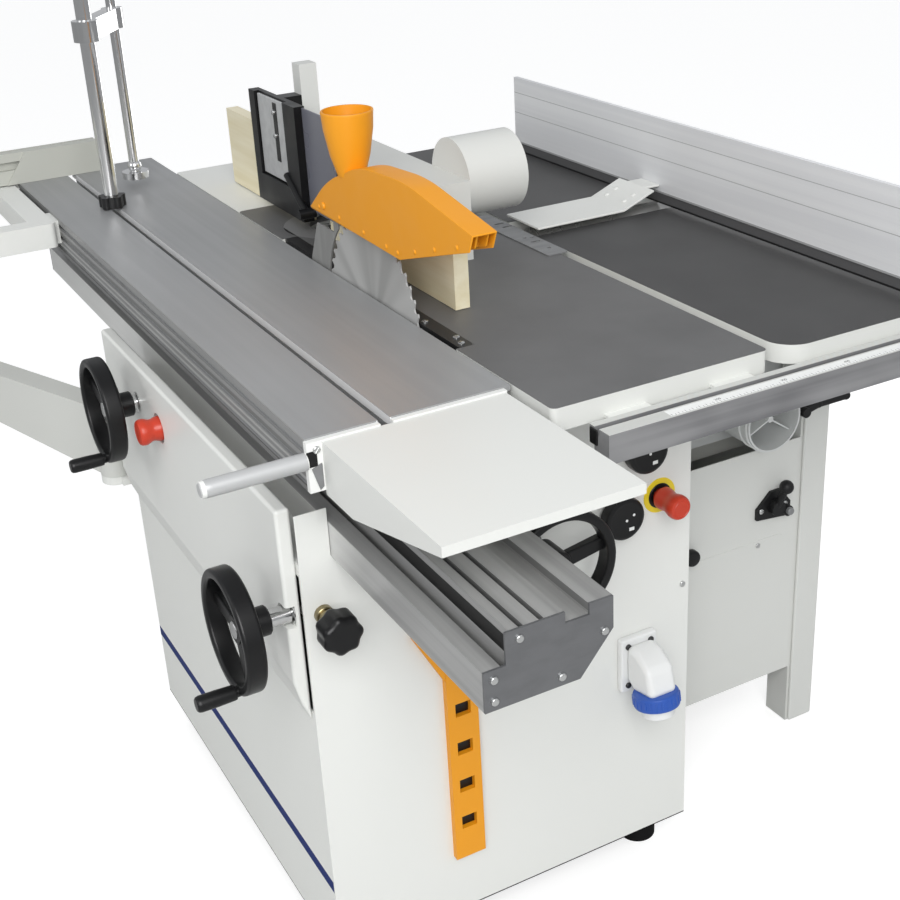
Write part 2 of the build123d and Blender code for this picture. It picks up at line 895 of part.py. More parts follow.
# Welded planer base: columns, legs, side and rear sheets, nut bar, motor plate, ties, hinge ears
def make_planer_base():
    column_left = base_right - planer_column
    front = planer_front
    back = planer_back
    inner_front = front + planer_leg_depth
    inner_back = back - planer_leg_depth
    panel_back = front + sheet
    column_top = hinge_z - hinge_boss_radius - free_gap
    base = block(column_left, base_right, front, inner_front, 0, column_top)
    base += block(column_left, base_right, inner_back, back, 0, column_top)
    left_in = planer_left + planer_column
    base += block(planer_left, left_in, panel_back, inner_front, 0, planer_panel_top)
    base += block(planer_left, left_in, inner_back, back, 0, planer_panel_top)
    sides = ((planer_left, planer_left + planer_sheet), (base_right - planer_sheet, base_right))
    for x0, x1 in sides:
        base += block(x0, x1, inner_front, inner_back, planer_panel_bottom, planer_panel_top)
    rail_bottom = planer_panel_top - planer_rail_height
    left_rail = left_cheek + cheek
    base += block(planer_left, left_rail, inner_front, inner_back, rail_bottom, planer_panel_top)
    base += block(right_cheek, base_right, inner_front, inner_back, rail_bottom, planer_panel_top)
    belt_start, belt_end = planer_belt_x()
    base -= block(
        belt_start - free_gap, belt_end + free_gap,
        cutter_y, planer_motor_y + planer_motor_pulley_radius, rail_bottom, planer_panel_top,
    )
    base += block(
        left_in, column_left, back - planer_sheet, back, planer_panel_bottom, planer_panel_top
    )
    base += block(
        planer_left, base_right, inner_back - 4 * planer_column, inner_back,
        planer_panel_bottom, planer_panel_bottom + planer_sheet,
    )
    nut_z = bed_top - bed_thickness - bed_travel - free_gap - nut_bar
    screw_x = (left_cheek + right_cheek + cheek) / 2
    base += block(
        planer_left, base_right, cutter_y - nut_bar, cutter_y + nut_bar, nut_z, nut_z + nut_bar
    )
    base -= rod_z(screw_x, cutter_y, nut_z, nut_z + nut_bar, bed_screw_radius + running_fit)
    for y in (inner_front + planer_leg_depth, inner_back - planer_leg_depth):
        for z in (planer_panel_bottom, planer_panel_top - tie_height - planer_rail_height):
            base += block(cabinet_right, planer_left, y, y + tie_height, z, z + tie_height)
    for y in hinge_ear_starts():
        ear = block(
            hinge_x - hinge_boss_radius, base_right, y, y + hinge_ear, column_top, hinge_z
        )
        ear += rod_y(hinge_x, y, y + hinge_ear, hinge_z, hinge_boss_radius)
        base += ear - rod_y(hinge_x, y, y + hinge_ear, hinge_z, hinge_pin_radius + running_fit)
    return base


def hinge_ear_starts():
    half = hinge_ear / 2 + seat_gap
    return (hinge_y - half - hinge_ear, hinge_y + half)


def make_planer_front_panel():
    right = base_right - planer_column
    panel = block(
        planer_left, right, planer_front, planer_front + sheet,
        planer_panel_bottom, planer_panel_top,
    )
    hub = lever_shaft_radius + running_fit
    return panel - rod_y(lever_x, planer_front, planer_front + sheet, lever_z, hub)


# Two cast cheeks that carry the cutterblock and the feed rollers
def make_planer_cheeks():
    sides = []
    back = planer_back - planer_leg_depth
    for x in (left_cheek, right_cheek):
        side = block(
            x, x + cheek, planer_front + planer_leg_depth, back, planer_panel_top, cheek_top
        )
        bore = cutter_journal_radius + running_fit
        side -= rod_x(x, x + cheek, cutter_y, cutter_z, bore)
        side -= block(x, x + cheek, cutter_y - bore, cutter_y + bore, cutter_z, cheek_top)
        for y in (cutter_y - roller_spacing, cutter_y + roller_spacing):
            side -= rod_x(x, x + cheek, y, roller_z, roller_journal_radius + running_fit)
        sides.append(Part(side.wrapped))
    return Compound(children=sides)


def planer_belt_x():
    start = right_cheek + cheek + cutter_pulley_gap
    return start, start + belt_width


# Planer motor on its plate, shaft and pulley towards the right side
def make_planer_motor():
    belt_start, belt_end = planer_belt_x()
    end = right_cheek - belt_gap
    start = end - planer_motor_length
    motor = rod_x(start, end, planer_motor_y, planer_motor_z, motor_radius)
    plate_top = planer_panel_bottom + planer_sheet
    foot = motor_foot_share * motor_radius
    motor += block(
        start + belt_gap, end - belt_gap,
        planer_motor_y - foot, planer_motor_y + foot, plate_top, planer_motor_z - foot,
    )
    motor += rod_x(end, belt_end, planer_motor_y, planer_motor_z, motor_shaft_radius)
    motor += rod_x(
        belt_start, belt_end, planer_motor_y, planer_motor_z, planer_motor_pulley_radius
    )
    return motor


def make_planer_belt():
    start, end = planer_belt_x()
    return belt_loop(
        start + belt_side_gap, end - belt_side_gap,
        (cutter_y, cutter_z), cutter_pulley_radius,
        (planer_motor_y, planer_motor_z), planer_motor_pulley_radius,
    )


# White cutter hood behind the boards, its dust port and the post for the cutter guard
def make_spindle_hood():
    hood_back = hood_front + hood_length
    right = hood_left + hood_width
    left = hood_left + hood_flange
    hood = block(hood_left, right, hood_front, hood_back, table_height, hood_top)
    hood -= block(
        hood_left, right - hood_wall, hood_front + hood_wall, hood_back - hood_wall,
        table_height, hood_top - hood_wall,
    )
    flange_bottom = board_bottom + hood_flange
    window_front = near_board_front + near_board_length
    flange = block(
        hood_left, left, hood_front, far_board_front + far_board_length * 0.8,
        flange_bottom, flange_bottom + hood_flange_height,
    )
    flange -= block(
        hood_left, left, window_front, far_board_front,
        flange_bottom, flange_bottom + hood_flange_height,
    )
    hood += flange
    post_x = hood_left + hood_flange
    hood += block(
        post_x, post_x + hood_post, cutter_post_y(), cutter_post_y() + hood_post,
        hood_top, hood_top + hood_post_height,
    )
    port_z = hood_top - port_drop
    shell = rod_x(right - hood_wall, right + port_length, port_y, port_z, port_radius)
    shell -= block(
        hood_left, right, port_y - port_radius, port_y + port_radius,
        hood_top, hood_top + port_radius,
    )
    hood += shell
    bore = rod_x(
        right - hood_wall, right + port_length, port_y, port_z, port_radius - port_wall
    )
    bore -= block(
        hood_left, right + port_wall, port_y - port_radius, port_y + port_radius,
        hood_top - hood_wall, hood_top + port_radius,
    )
    return hood - bore


def cutter_post_y():
    return cutter_guard_front + cutter_guard_length / 2 - hood_post / 2


def make_fence_boards():
    right = board_x + board_thickness
    near = block(
        board_x, right, near_board_front, near_board_front + near_board_length,
        board_bottom, board_bottom + near_board_height,
    )
    far = block(
        board_x, right, far_board_front, far_board_front + far_board_length,
        board_bottom, board_bottom + far_board_height,
    )
    return Compound(children=[Part(near.wrapped), Part(far.wrapped)])


# Appliance inlet: plate and angled body, with the collar round its pins
def make_power_inlet():
    face = cabinet_front - inlet_plate
    housing = block(
        inlet_x - inlet_plate_width / 2, inlet_x + inlet_plate_width / 2, face, cabinet_front,
        inlet_z - inlet_plate_height / 2, inlet_z + inlet_plate_height / 2,
    )
    elbow = (inlet_x, face - inlet_reach, inlet_z)
    housing += rod_y(inlet_x, face - inlet_reach, face, inlet_z, inlet_body_radius)
    housing += Pos(*elbow) * Sphere(inlet_body_radius)
    down = Vector(0, -sin(radians(inlet_tilt)), -cos(radians(inlet_tilt)))
    neck = Vector(*elbow) + down * inlet_body_length
    rim = neck + down * inlet_collar_length
    housing += rod(elbow, tuple(neck), inlet_body_radius)
    collar = rod(tuple(neck), tuple(rim), inlet_collar_radius)
    floor = neck + down * (inlet_collar_length / 4)
    collar -= rod(tuple(floor), tuple(rim), inlet_socket_radius)
    return Compound(children=[Part(housing.wrapped), Part(collar.wrapped)])


# Slotted orange holder on the front panel
def make_tool_holder():
    right = holder_left + holder_width
    bottom = holder_top - holder_height
    front = cabinet_front - holder_thickness
    strip = block(holder_left, right, front, cabinet_front, bottom, holder_top)
    strip = fillet(strip.edges().filter_by(Axis.Y).group_by(Axis.Z)[-1], holder_thickness / 2)
    pitch = holder_height / (holder_slots + 1)
    for index in range(holder_slots):
        z = bottom + (index + 0.8) * pitch
        strip -= block(
            holder_left + holder_width / 4, right - holder_width / 4, front, cabinet_front,
            z, z + pitch / 3,
        )
    return strip


# Black plate that carries the feed lever on the planer's front
def make_lever_bracket():
    front = planer_front - lever_plate
    width = 2.6 * lever_hub_radius
    height = 2.0 * lever_hub_radius
    outline = [
        (lever_x - width, lever_z - height * 0.7),
        (lever_x + width, lever_z - height),
        (lever_x + width, lever_z),
        (lever_x + lever_hub_radius, lever_z + height),
        (lever_x - lever_hub_radius / 2, lever_z + height),
        (lever_x - width, lever_z),
    ]
    plate = prism_y(outline, front, planer_front)
    plate += rod_y(
        lever_x + width * 0.62, front - 2 * lever_plate, front,
        lever_z - height * 0.4, lever_hub_radius * 0.7,
    )
    hub = lever_shaft_radius + running_fit
    return plate - rod_y(lever_x, front, planer_front, lever_z, hub)


# Chip hood under the cutterblock, its front outlet and the boss of its clamp lever
def make_chip_hood():
    left = left_cheek + cheek
    right = right_cheek
    front = hood_plate_y
    low = planer_panel_top + free_gap
    roof = cutter_z - cutter_radius - free_gap
    rise = roof - low
    outline = [
        (front, low),
        (front, low + rise * 0.55),
        (cutter_y - roller_spacing, roof),
        (cutter_y + roller_spacing, roof),
        (cutter_y + roller_spacing, roof - 4 * spigot_wall),
        (front + spigot_radius, low),
    ]
    shell = prism_x(outline, left, right)
    mouth_front = cutter_y - roller_spacing / 2
    mouth_back = cutter_y + roller_spacing / 2
    shell -= block(
        left + hood_plate, right - hood_plate, mouth_front, mouth_back,
        roof - 2 * spigot_wall, roof,
    )
    shell += rod_y(spigot_x, spigot_front, front, spigot_z, spigot_radius)
    depth = front + spigot_radius / 2
    bore = spigot_radius - spigot_wall
    shell -= rod_y(spigot_x, spigot_front, depth, spigot_z, bore)
    boss = clamp_lever_front() + clamp_lever_stem
    shell += rod_y(clamp_lever_x, boss, front, clamp_lever_z, 1.3 * clamp_lever_stem)
    return shell - rod_y(
        clamp_lever_x, boss, front, clamp_lever_z, clamp_lever_stem + running_fit
    )


def clamp_lever_front():
    return spigot_front + 2 * clamp_lever_radius


# Sliding table extrusion: deck with T-slot, grooved sides and two running legs
def make_slide_table():
    table = block(slide_left, slide_right, slide_front, slide_back, deck_bottom, table_height)
    under = table_height - slot_lip - slot_undercut_height
    table -= block(
        slot_x - slot_width / 2, slot_x + slot_width / 2, slide_front, slide_back,
        under, table_height,
    )
    table -= block(
        slot_x - slot_undercut / 2, slot_x + slot_undercut / 2, slide_front, slide_back,
        under, table_height - slot_lip,
    )
    table -= block(
        slide_left + slide_wall, slide_right - slide_wall, slide_front, slide_back,
        deck_bottom, under - slide_wall,
    )
    table -= block(
        slide_right - slide_overhang, slide_right, slide_front, slide_back,
        deck_bottom, table_height - slide_overhang_thickness,
    )
    for step in (1, 3, 5):
        z = table_height - step * 1.25 * side_groove
        table -= block(
            slide_left, slide_left + slide_wall / 2, slide_front, slide_back, z - side_groove, z
        )
    for x in (left_leg_x, right_leg_x):
        table += block(
            x, x + slide_leg_width, slide_front, slide_back, leg_bottom, under - slide_wall
        )
    return table


# End casting of the sliding table and the push handle screwed to its side
def make_slide_end_handle():
    front = slide_front - end_bracket
    bracket = block(
        slide_left, slide_right - slide_wall, front, slide_front,
        deck_bottom, table_height - free_gap,
    )
    bracket -= rod_y(slot_x + slot_offset / 2, front, slide_front, deck_bottom, 1.5 * slot_width)
    bracket -= block(
        slot_x - slot_width / 2, slot_x + slot_width / 2, front, slide_front,
        table_height - slot_lip - slot_undercut_height, table_height,
    )
    centre = (front + slide_front) / 2
    handle = rod_x(
        slide_left - handle_length, slide_left, centre, table_height - handle_drop, handle_radius
    )
    return Compound(children=[Part(bracket.wrapped), Part(handle.wrapped)])


# Bent sheet cover in front of the sliding table
def make_slide_front_cover():
    back = slide_front - end_bracket
    front = back - front_cover_length
    top = table_height - front_cover_drop
    left = slide_left + front_cover_left_margin
    right = slide_right - front_cover_right_margin
    cover = block(left, right, front, back, top - cover_sheet, top)
    quarter = front_cover_length / 4
    outline = [
        (back, top),
        (back, top - front_cover_flange),
        (back - quarter, top - front_cover_flange),
        (front, top - front_cover_lip),
        (front, top),
    ]
    cover += prism_x(outline, left, left + cover_sheet)
    cover += block(left, right, front, front + cover_sheet, top - front_cover_lip, top)
    return cover


# Chromed clamp column with the star knob that locks it in the T-slot
def make_clamp_column():
    column = rod_z(slot_x, column_y, table_height, table_height + column_height, column_radius)
    knob_bottom = table_height + free_gap
    knob_top = knob_bottom + column_knob_height
    column += rod_z(slot_x, column_y, knob_bottom, knob_top, column_knob_radius * 0.8)
    for index in range(column_knob_lobes):
        angle = radians(360 / column_knob_lobes * index)
        x = slot_x + column_knob_radius * 0.68 * cos(angle)
        y = column_y + column_knob_radius * 0.68 * sin(angle)
        column += rod_z(x, y, knob_bottom, knob_top, column_knob_radius * 0.32)
    return column


def clamp_tip():
    angle = radians(clamp_arm_angle)
    return (slot_x + clamp_arm_reach * cos(angle), column_y + clamp_arm_reach * sin(angle))


def make_clamp_arm():
    top = table_height + column_height - clamp_arm_drop
    bottom = top - clamp_arm_height
    tip_x, tip_y = clamp_tip()
    bar = Pos(clamp_arm_reach / 2, 0, 0) * Box(clamp_arm_reach, clamp_arm_width, clamp_arm_height)
    arm = Pos(slot_x, column_y, (top + bottom) / 2) * Rot(0, 0, clamp_arm_angle) * bar
    arm += rod_z(slot_x, column_y, bottom, top, column_radius + clamp_hub_wall)
    arm += rod_z(tip_x, tip_y, bottom, top, clamp_screw_radius + clamp_hub_wall)
    arm -= rod_z(slot_x, column_y, bottom, top, column_radius + running_fit)
    return arm - rod_z(tip_x, tip_y, bottom, top, clamp_screw_radius + running_fit)


def make_clamp_screw():
    x, y = clamp_tip()
    pad_bottom = table_height + clamp_pad_rise
    pad_top = pad_bottom + clamp_pad_height
    screw_top = pad_top + clamp_screw_length
    screw = rod_z(x, y, pad_bottom, pad_top, clamp_pad_radius)
    screw += rod_z(x, y, pad_top, screw_top, clamp_screw_radius)
    screw += Pos(x, y, pad_top + clamp_screw_radius) * Sphere(clamp_screw_radius * 1.4)
    bar = clamp_bar_length / 2
    return screw + rod_x(x - bar, x + bar, y, screw_top - clamp_bar_radius, clamp_bar_radius)


# Outrigger table: a frame of square tube hooked to the sliding table
def make_outrigger_frame():
    left = outrigger_right - outrigger_width
    back = outrigger_front + outrigger_depth
    frame = block(left, outrigger_right, outrigger_front, back, outrigger_under, outrigger_top)
    frame = fillet(frame.edges().filter_by(Axis.Z), outrigger_bar / 4)
    middle = (left + outrigger_right) / 2
    bays = (
        (left + outrigger_bar, middle - outrigger_bar / 2),
        (middle + outrigger_bar / 2, outrigger_right - outrigger_bar),
    )
    for x0, x1 in bays:
        frame -= block(
            x0, x1, outrigger_front + outrigger_bar, back - outrigger_bar,
            outrigger_under, outrigger_top,
        )
    for y in (outrigger_front + outrigger_bar / 2, back - outrigger_bar / 2 - outrigger_hook):
        frame += block(
            outrigger_right - outrigger_bar / 2, slide_left, y, y + outrigger_hook,
            outrigger_under, outrigger_top - outrigger_drop,
        )
    x, y = crosscut_pivot()
    bottom = table_height + seat_gap - crosscut_pin_length
    return frame - rod_z(x, y, bottom, outrigger_top, crosscut_pin_radius + running_fit)


def crosscut_pivot():
    return (outrigger_right - outrigger_bar / 2, crosscut_y + crosscut_depth / 2)


# Crosscut fence on its pivot, with the white end plate on its face
def make_crosscut_fence():
    bottom = table_height + seat_gap
    top = bottom + crosscut_height
    back = crosscut_y + crosscut_depth
    fence = block(crosscut_left, crosscut_right, crosscut_y, back, bottom, top)
    fence -= block(
        crosscut_left, crosscut_right, crosscut_y, crosscut_y + crosscut_depth / 3,
        top - 2 * slot_width, top - slot_width,
    )
    fence -= block(
        crosscut_left, crosscut_right, back - 2 * crosscut_depth / 5, back - crosscut_depth / 5,
        top - slot_width, top,
    )
    x, y = crosscut_pivot()
    pin_bottom = bottom + seat_gap - crosscut_pin_length
    fence += rod_z(x, y, pin_bottom, bottom, crosscut_pin_radius)
    plate_left = crosscut_right - crosscut_plate_width
    outline = [
        (plate_left, bottom),
        (crosscut_right, bottom),
        (crosscut_right, top),
        (plate_left + crosscut_plate_slant, top),
    ]
    plate = prism_y(outline, crosscut_y - crosscut_plate, crosscut_y)
    return Compound(children=[Part(fence.wrapped), Part(plate.wrapped)])


# Swing arm under the outrigger, tapering towards its post
def make_swing_arm():
    bottom = arm_top - arm_depth
    tip_bottom = arm_top - arm_tip_depth
    outline = [(0, bottom), (arm_length, tip_bottom), (arm_length, arm_top), (0, arm_top)]
    bar = prism_y(outline, -arm_width / 2, arm_width / 2)
    arm = Pos(arm_pivot_x, arm_pivot_y, 0) * Rot(0, 0, arm_angle) * bar
    arm += rod_z(arm_pivot_x, arm_pivot_y, bottom, arm_top, arm_hub_radius)
    reach = arm_length - 2 * arm_post_radius
    x = arm_pivot_x + reach * cos(radians(arm_angle))
    y = arm_pivot_y + reach * sin(radians(arm_angle))
    arm += rod_z(x, y, arm_top, outrigger_under - free_gap, arm_post_radius)
    return arm - rod_z(arm_pivot_x, arm_pivot_y, bottom, arm_top, arm_pin_radius + running_fit)


# Tilting trunnion: two segments, side plates, bottom tie and the lift rods
def make_saw_trunnion():
    frame = None
    left = lift_rod_x - lift_rod_radius
    right = lift_rod_x + lift_rod_radius
    for y in (trunnion_y, -trunnion_y - trunnion_thickness):
        side = arc_segment(
            0, table_height, trunnion_inner, trunnion_outer,
            trunnion_start, trunnion_sweep, y, y + trunnion_thickness,
        )
        plate_top = table_height - trunnion_inner
        side += block(left, right, y, y + trunnion_thickness, trunnion_bottom, plate_top)
        frame = side if frame is None else frame + side
    reach = trunnion_y + trunnion_thickness
    tie_top = trunnion_bottom + trunnion_tie
    frame += block(left, right, -reach, reach, trunnion_bottom, tie_top)
    for y in (-lift_rod_y, lift_rod_y):
        frame += rod_z(lift_rod_x, y, trunnion_bottom, arbor_z, lift_rod_radius)
    return frame


def saw_belt_x():
    start = blade_x + blade_body / 2 + 2 * flange_thickness + arbor_housing_length + belt_gap
    return start, start + belt_width


def housing_x():
    start = blade_x + blade_body / 2 + 2 * flange_thickness
    return start, start + arbor_housing_length


# Lift carriage: cross beam on the rods, arbor housing and motor plate
def make_saw_carriage():
    sleeve = lift_rod_radius + lift_sleeve_wall
    top = arbor_z - carriage_drop
    bottom = top - lift_beam_height
    left = lift_rod_x - lift_beam_width / 2
    right = lift_rod_x + lift_beam_width / 2
    carriage = block(left, right, -lift_rod_y - sleeve, lift_rod_y + sleeve, bottom, top)
    start, end = housing_x()
    carriage += rod_x(start, end, 0, arbor_z, arbor_housing_radius)
    belt_start, belt_end = saw_belt_x()
    plate_left = belt_end + belt_gap
    half = motor_radius + 2 * belt_gap
    for y in (-half - motor_plate, half):
        carriage += block(left, plate_left + motor_plate, y, y + motor_plate, bottom, top)
    carriage += block(
        plate_left, plate_left + motor_plate, -half - motor_plate, half + motor_plate,
        saw_motor_z - motor_radius, top,
    )
    hole = motor_shaft_radius + belt_gap
    carriage -= rod_x(plate_left, plate_left + motor_plate, 0, saw_motor_z, hole)
    carriage -= rod_x(start, end, 0, arbor_z, arbor_radius + running_fit)
    for y in (-lift_rod_y, lift_rod_y):
        carriage -= rod_z(lift_rod_x, y, bottom, top, lift_rod_radius + running_fit)
    knife_right = blade_x + knife_thickness / 2
    carriage += block(
        knife_right, left, lift_rod_y - knife_foot / 2, lift_rod_y + knife_foot / 2, bottom, top
    )
    return carriage


def motor_face_x():
    return saw_belt_x()[1] + belt_gap + motor_plate


def make_saw_motor():
    start = motor_face_x()
    end = start + saw_motor_length
    motor = rod_x(start, end, 0, saw_motor_z, motor_radius)
    box = motor_foot_share * motor_radius
    motor += block(
        start + 2 * box, end - box, -box, box, saw_motor_z - 1.25 * motor_radius, saw_motor_z
    )
    bore = motor_shaft_radius + running_fit
    return motor - rod_x(start, start + saw_motor_length / 2, 0, saw_motor_z, bore)


# Motor shaft with its pulley
def make_saw_motor_pulley():
    start, end = saw_belt_x()
    shaft_end = motor_face_x() + saw_motor_length / 2 - free_gap
    pulley = rod_x(start, end, 0, saw_motor_z, saw_motor_pulley_radius)
    return pulley + rod_x(start, shaft_end, 0, saw_motor_z, motor_shaft_radius)


def make_saw_belt():
    start, end = saw_belt_x()
    return belt_loop(
        start + belt_side_gap, end - belt_side_gap,
        (0, arbor_z), saw_pulley_radius, (0, saw_motor_z), saw_motor_pulley_radius,
    )


# Arbor with inner and outer flange, nut and pulley
def make_saw_arbor():
    face = blade_x + blade_body / 2
    near = blade_x - blade_body / 2
    start, end = saw_belt_x()
    arbor = rod_x(near - flange_thickness - nut_length, end, 0, arbor_z, arbor_radius)
    arbor += rod_x(face, face + flange_thickness, 0, arbor_z, flange_radius)
    arbor += rod_x(near - flange_thickness, near, 0, arbor_z, flange_radius)
    nut_start = near - flange_thickness - nut_length
    arbor += rod_x(nut_start, near - flange_thickness, 0, arbor_z, nut_radius)
    return arbor + rod_x(start, end, 0, arbor_z, saw_pulley_radius)


# Saw blade with raked teeth
def make_saw_blade():
    pitch = 360 / blade_teeth
    root = blade_radius - tooth_depth
    points = []
    for index in range(blade_teeth):
        for share, radius in ((0.0, root), (0.12, blade_radius), (0.3, blade_radius - tooth_land_drop)):
            angle = radians((index + share) * pitch)
            points.append((radius * cos(angle), arbor_z + radius * sin(angle)))
    near = blade_x - blade_body / 2
    disc = prism_x(points, near, near + blade_body)
    return disc - rod_x(near, near + blade_body, 0, arbor_z, arbor_radius)


# Riving knife behind the blade, with the tongue that carries the guard
def make_riving_knife():
    near = blade_x - knife_thickness / 2
    far = near + knife_thickness
    foot_bottom = arbor_z - carriage_drop - lift_beam_height
    tongue_front = knife_tongue_back - knife_tongue_width
    outline = [
        (tongue_front, foot_bottom),
        (lift_rod_y + knife_foot / 2, foot_bottom),
        (knife_back, table_height),
        (knife_shoulder_back, knife_shoulder),
        (knife_tongue_back, knife_shoulder),
        (knife_tongue_back, knife_tongue_top),
        (tongue_front, knife_tongue_top),
    ]
    knife = prism_x(outline, near, far)
    knife -= rod_x(near, far, 0, arbor_z, blade_radius + knife_gap)
    return knife - rod_x(near, far, guard_pivot_y, guard_pivot_z, guard_pin_radius + running_fit)


def guard_outline():
    rises = [
        (guard_heel_y, guard_heel_rise),
        (guard_belly_y, guard_belly_rise),
        (guard_chin_y, guard_chin_rise),
        (guard_lip_y, guard_lip_rise),
        (guard_tip_y, guard_tip_rise),
        (guard_brow_y, guard_brow_rise),
        (guard_crown_y, guard_crown_rise),
        (guard_nape_y, guard_nape_rise),
    ]
    return [(y, table_height + rise) for y, rise in rises]


# Orange blade guard: a hollow hood open below, with the dust spout on top
def make_blade_guard():
    left = blade_x - guard_width / 2
    right = blade_x + guard_width / 2
    guard = prism_x(guard_outline(), left, right)
    base = (blade_x, spout_y, spout_base_z)
    top = (blade_x, spout_y, spout_top_z)
    guard += rod(base, top, spout_base_radius, spout_top_radius)
    lowered = [(y, z - guard_roof) for y, z in guard_outline()]
    guard -= prism_x(lowered, left + guard_wall, right - guard_wall)
    guard -= rod(base, top, spout_base_radius - spout_wall, spout_top_radius - spout_wall)
    return guard + rod_x(left, right, guard_pivot_y, guard_pivot_z, guard_pin_radius)


def make_spindle_quill():
    top = table_height - quill_drop
    quill = rod_z(spindle_x, spindle_y, top - quill_length, top, quill_radius)
    return quill - rod_z(
        spindle_x, spindle_y, top - quill_length, top, spindle_radius + running_fit
    )


def make_spindle_shaft():
    top = table_height - quill_drop
    bottom = top - quill_length
    pulley_top = bottom - seat_gap
    shaft = rod_z(
        spindle_x, spindle_y, pulley_top - spindle_pulley_height, pulley_top,
        spindle_pulley_radius,
    )
    shaft += rod_z(spindle_x, spindle_y, pulley_top, top, spindle_radius)
    nose_top = table_height - spindle_nose_drop
    return shaft + rod_z(spindle_x, spindle_y, top, nose_top, spindle_nose_radius)


# Black cutter guard with its clamp rod, held by an arm over the boards
def make_cutter_guard():
    right = board_x - cutter_guard_gap
    left = right - cutter_guard_thickness
    bottom = board_bottom + 4 * cutter_guard_gap
    top = bottom + cutter_guard_height
    back = cutter_guard_front + cutter_guard_length
    guard = block(left, right, cutter_guard_front, back, bottom, top)
    inset = cutter_guard_length / 4
    guard -= block(
        left, left + cutter_guard_thickness / 2,
        cutter_guard_front + inset, back - inset / 2,
        bottom + 1.7 * cutter_arm, top,
    )
    arm_y = cutter_post_y()
    guard += block(
        right, hood_left + hood_flange - seat_gap, arm_y, arm_y + hood_post,
        top - cutter_arm, top,
    )
    knob_y = cutter_guard_front - cutter_arm / 2
    knob_z = bottom + 0.65 * cutter_arm
    start = (left, cutter_guard_front + 2 * cutter_arm, bottom + 2.4 * cutter_arm)
    guard += rod(start, (left, knob_y, knob_z), clamp_bar_radius)
    heel = (left - cutter_arm / 2, knob_y, knob_z)
    tip = (left + cutter_arm / 2, knob_y, knob_z)
    return guard + rod(heel, tip, 1.4 * clamp_bar_radius)


# Infeed table with rounded front corners
def make_infeed_table():
    back = cutter_y - lip_gap
    table = block(planer_left, planer_right, infeed_front, back, infeed_under, infeed_top)
    return fillet(table.edges().filter_by(Axis.Z).group_by(Axis.Y)[0], planer_corner_radius)


# Outfeed table with its hinge pin, rest pads and the fence bracket
def make_outfeed_table():
    front = cutter_y + lip_gap
    back = front + outfeed_length
    table = block(planer_left, planer_right, front, back, outfeed_under, table_height)
    table = fillet(table.edges().filter_by(Axis.Z).group_by(Axis.Y)[-1], planer_corner_radius)
    pad_front = front + planer_corner_radius
    for x in (left_cheek, right_cheek):
        table += block(
            x, x + cheek, pad_front, pad_front + planer_corner_radius,
            cheek_top + seat_gap, outfeed_under,
        )
    half = hinge_ear / 2
    ears = hinge_ear_starts()
    table += block(
        planer_right - hinge_boss_radius, hinge_x, hinge_y - half, hinge_y + half,
        hinge_z - hinge_boss_radius / 2, hinge_z + hinge_boss_radius / 2,
    )
    table += rod_y(hinge_x, hinge_y - half, hinge_y + half, hinge_z, hinge_boss_radius)
    table += rod_y(hinge_x, ears[0], ears[1] + hinge_ear, hinge_z, hinge_pin_radius)
    bracket_left = fence_pivot_x() + free_gap
    bracket_top = table_height + fence_bracket_height
    slope = [
        (bracket_left, table_height),
        (planer_right, table_height),
        (planer_right, bracket_top),
        (bracket_left + fence_bracket_height, bracket_top),
    ]
    return table + prism_y(slope, hinge_y - fence_bracket_width, hinge_y)


def fence_pivot_x():
    return fence_face_x + fence_plate + fence_pivot_gap


# Planer fence: face extrusion with a box rib, on its dark base strip
def make_planer_fence():
    bottom = table_height + fence_lift
    back = fence_front + fence_length
    face_bottom = bottom + fence_strip
    top = bottom + fence_height
    plate_back = fence_face_x + fence_plate
    fence = block(fence_face_x, plate_back, fence_front, back, face_bottom, top)
    rib_bottom = bottom + fence_rib_bottom
    rib_top = rib_bottom + fence_rib_height
    rib = block(plate_back, plate_back + fence_rib_depth, fence_front, back, rib_bottom, rib_top)
    fence += rib - block(
        plate_back, plate_back + fence_rib_depth - fence_rib_wall, fence_front, back,
        rib_bottom + fence_rib_wall, rib_top - fence_rib_wall,
    )
    strip = block(
        fence_face_x + fence_pivot_gap, fence_pivot_x(), fence_front, back, bottom, face_bottom
    )
    return Compound(children=[Part(fence.wrapped), Part(strip.wrapped)])


# White bar over the cutterblock with its bent-up end against the fence
def make_bridge_guard():
    left = planer_left + fence_pivot_gap
    bottom = table_height + bridge_lift
    top = bottom + bridge_thickness
    tip_x = bridge_flat_end + bridge_tip_length
    end = fence_face_x - seat_gap
    outline = [
        (left, bottom),
        (bridge_flat_end, bottom),
        (tip_x, bottom + bridge_tip_rise),
        (end, bottom + bridge_tip_rise),
        (end, top + bridge_tip_rise),
        (tip_x, top + bridge_tip_rise),
        (bridge_flat_end, top),
        (left, top),
    ]
    bar = prism_y(outline, bridge_front, bridge_front + bridge_depth)
    middle = bridge_front + bridge_depth / 2
    trim = bridge_depth / 4
    for y0, y1 in ((bridge_front, middle - trim), (middle + trim, bridge_front + bridge_depth)):
        bar -= block(tip_x, end, y0, y1, bottom, top + bridge_tip_rise)
    return bar


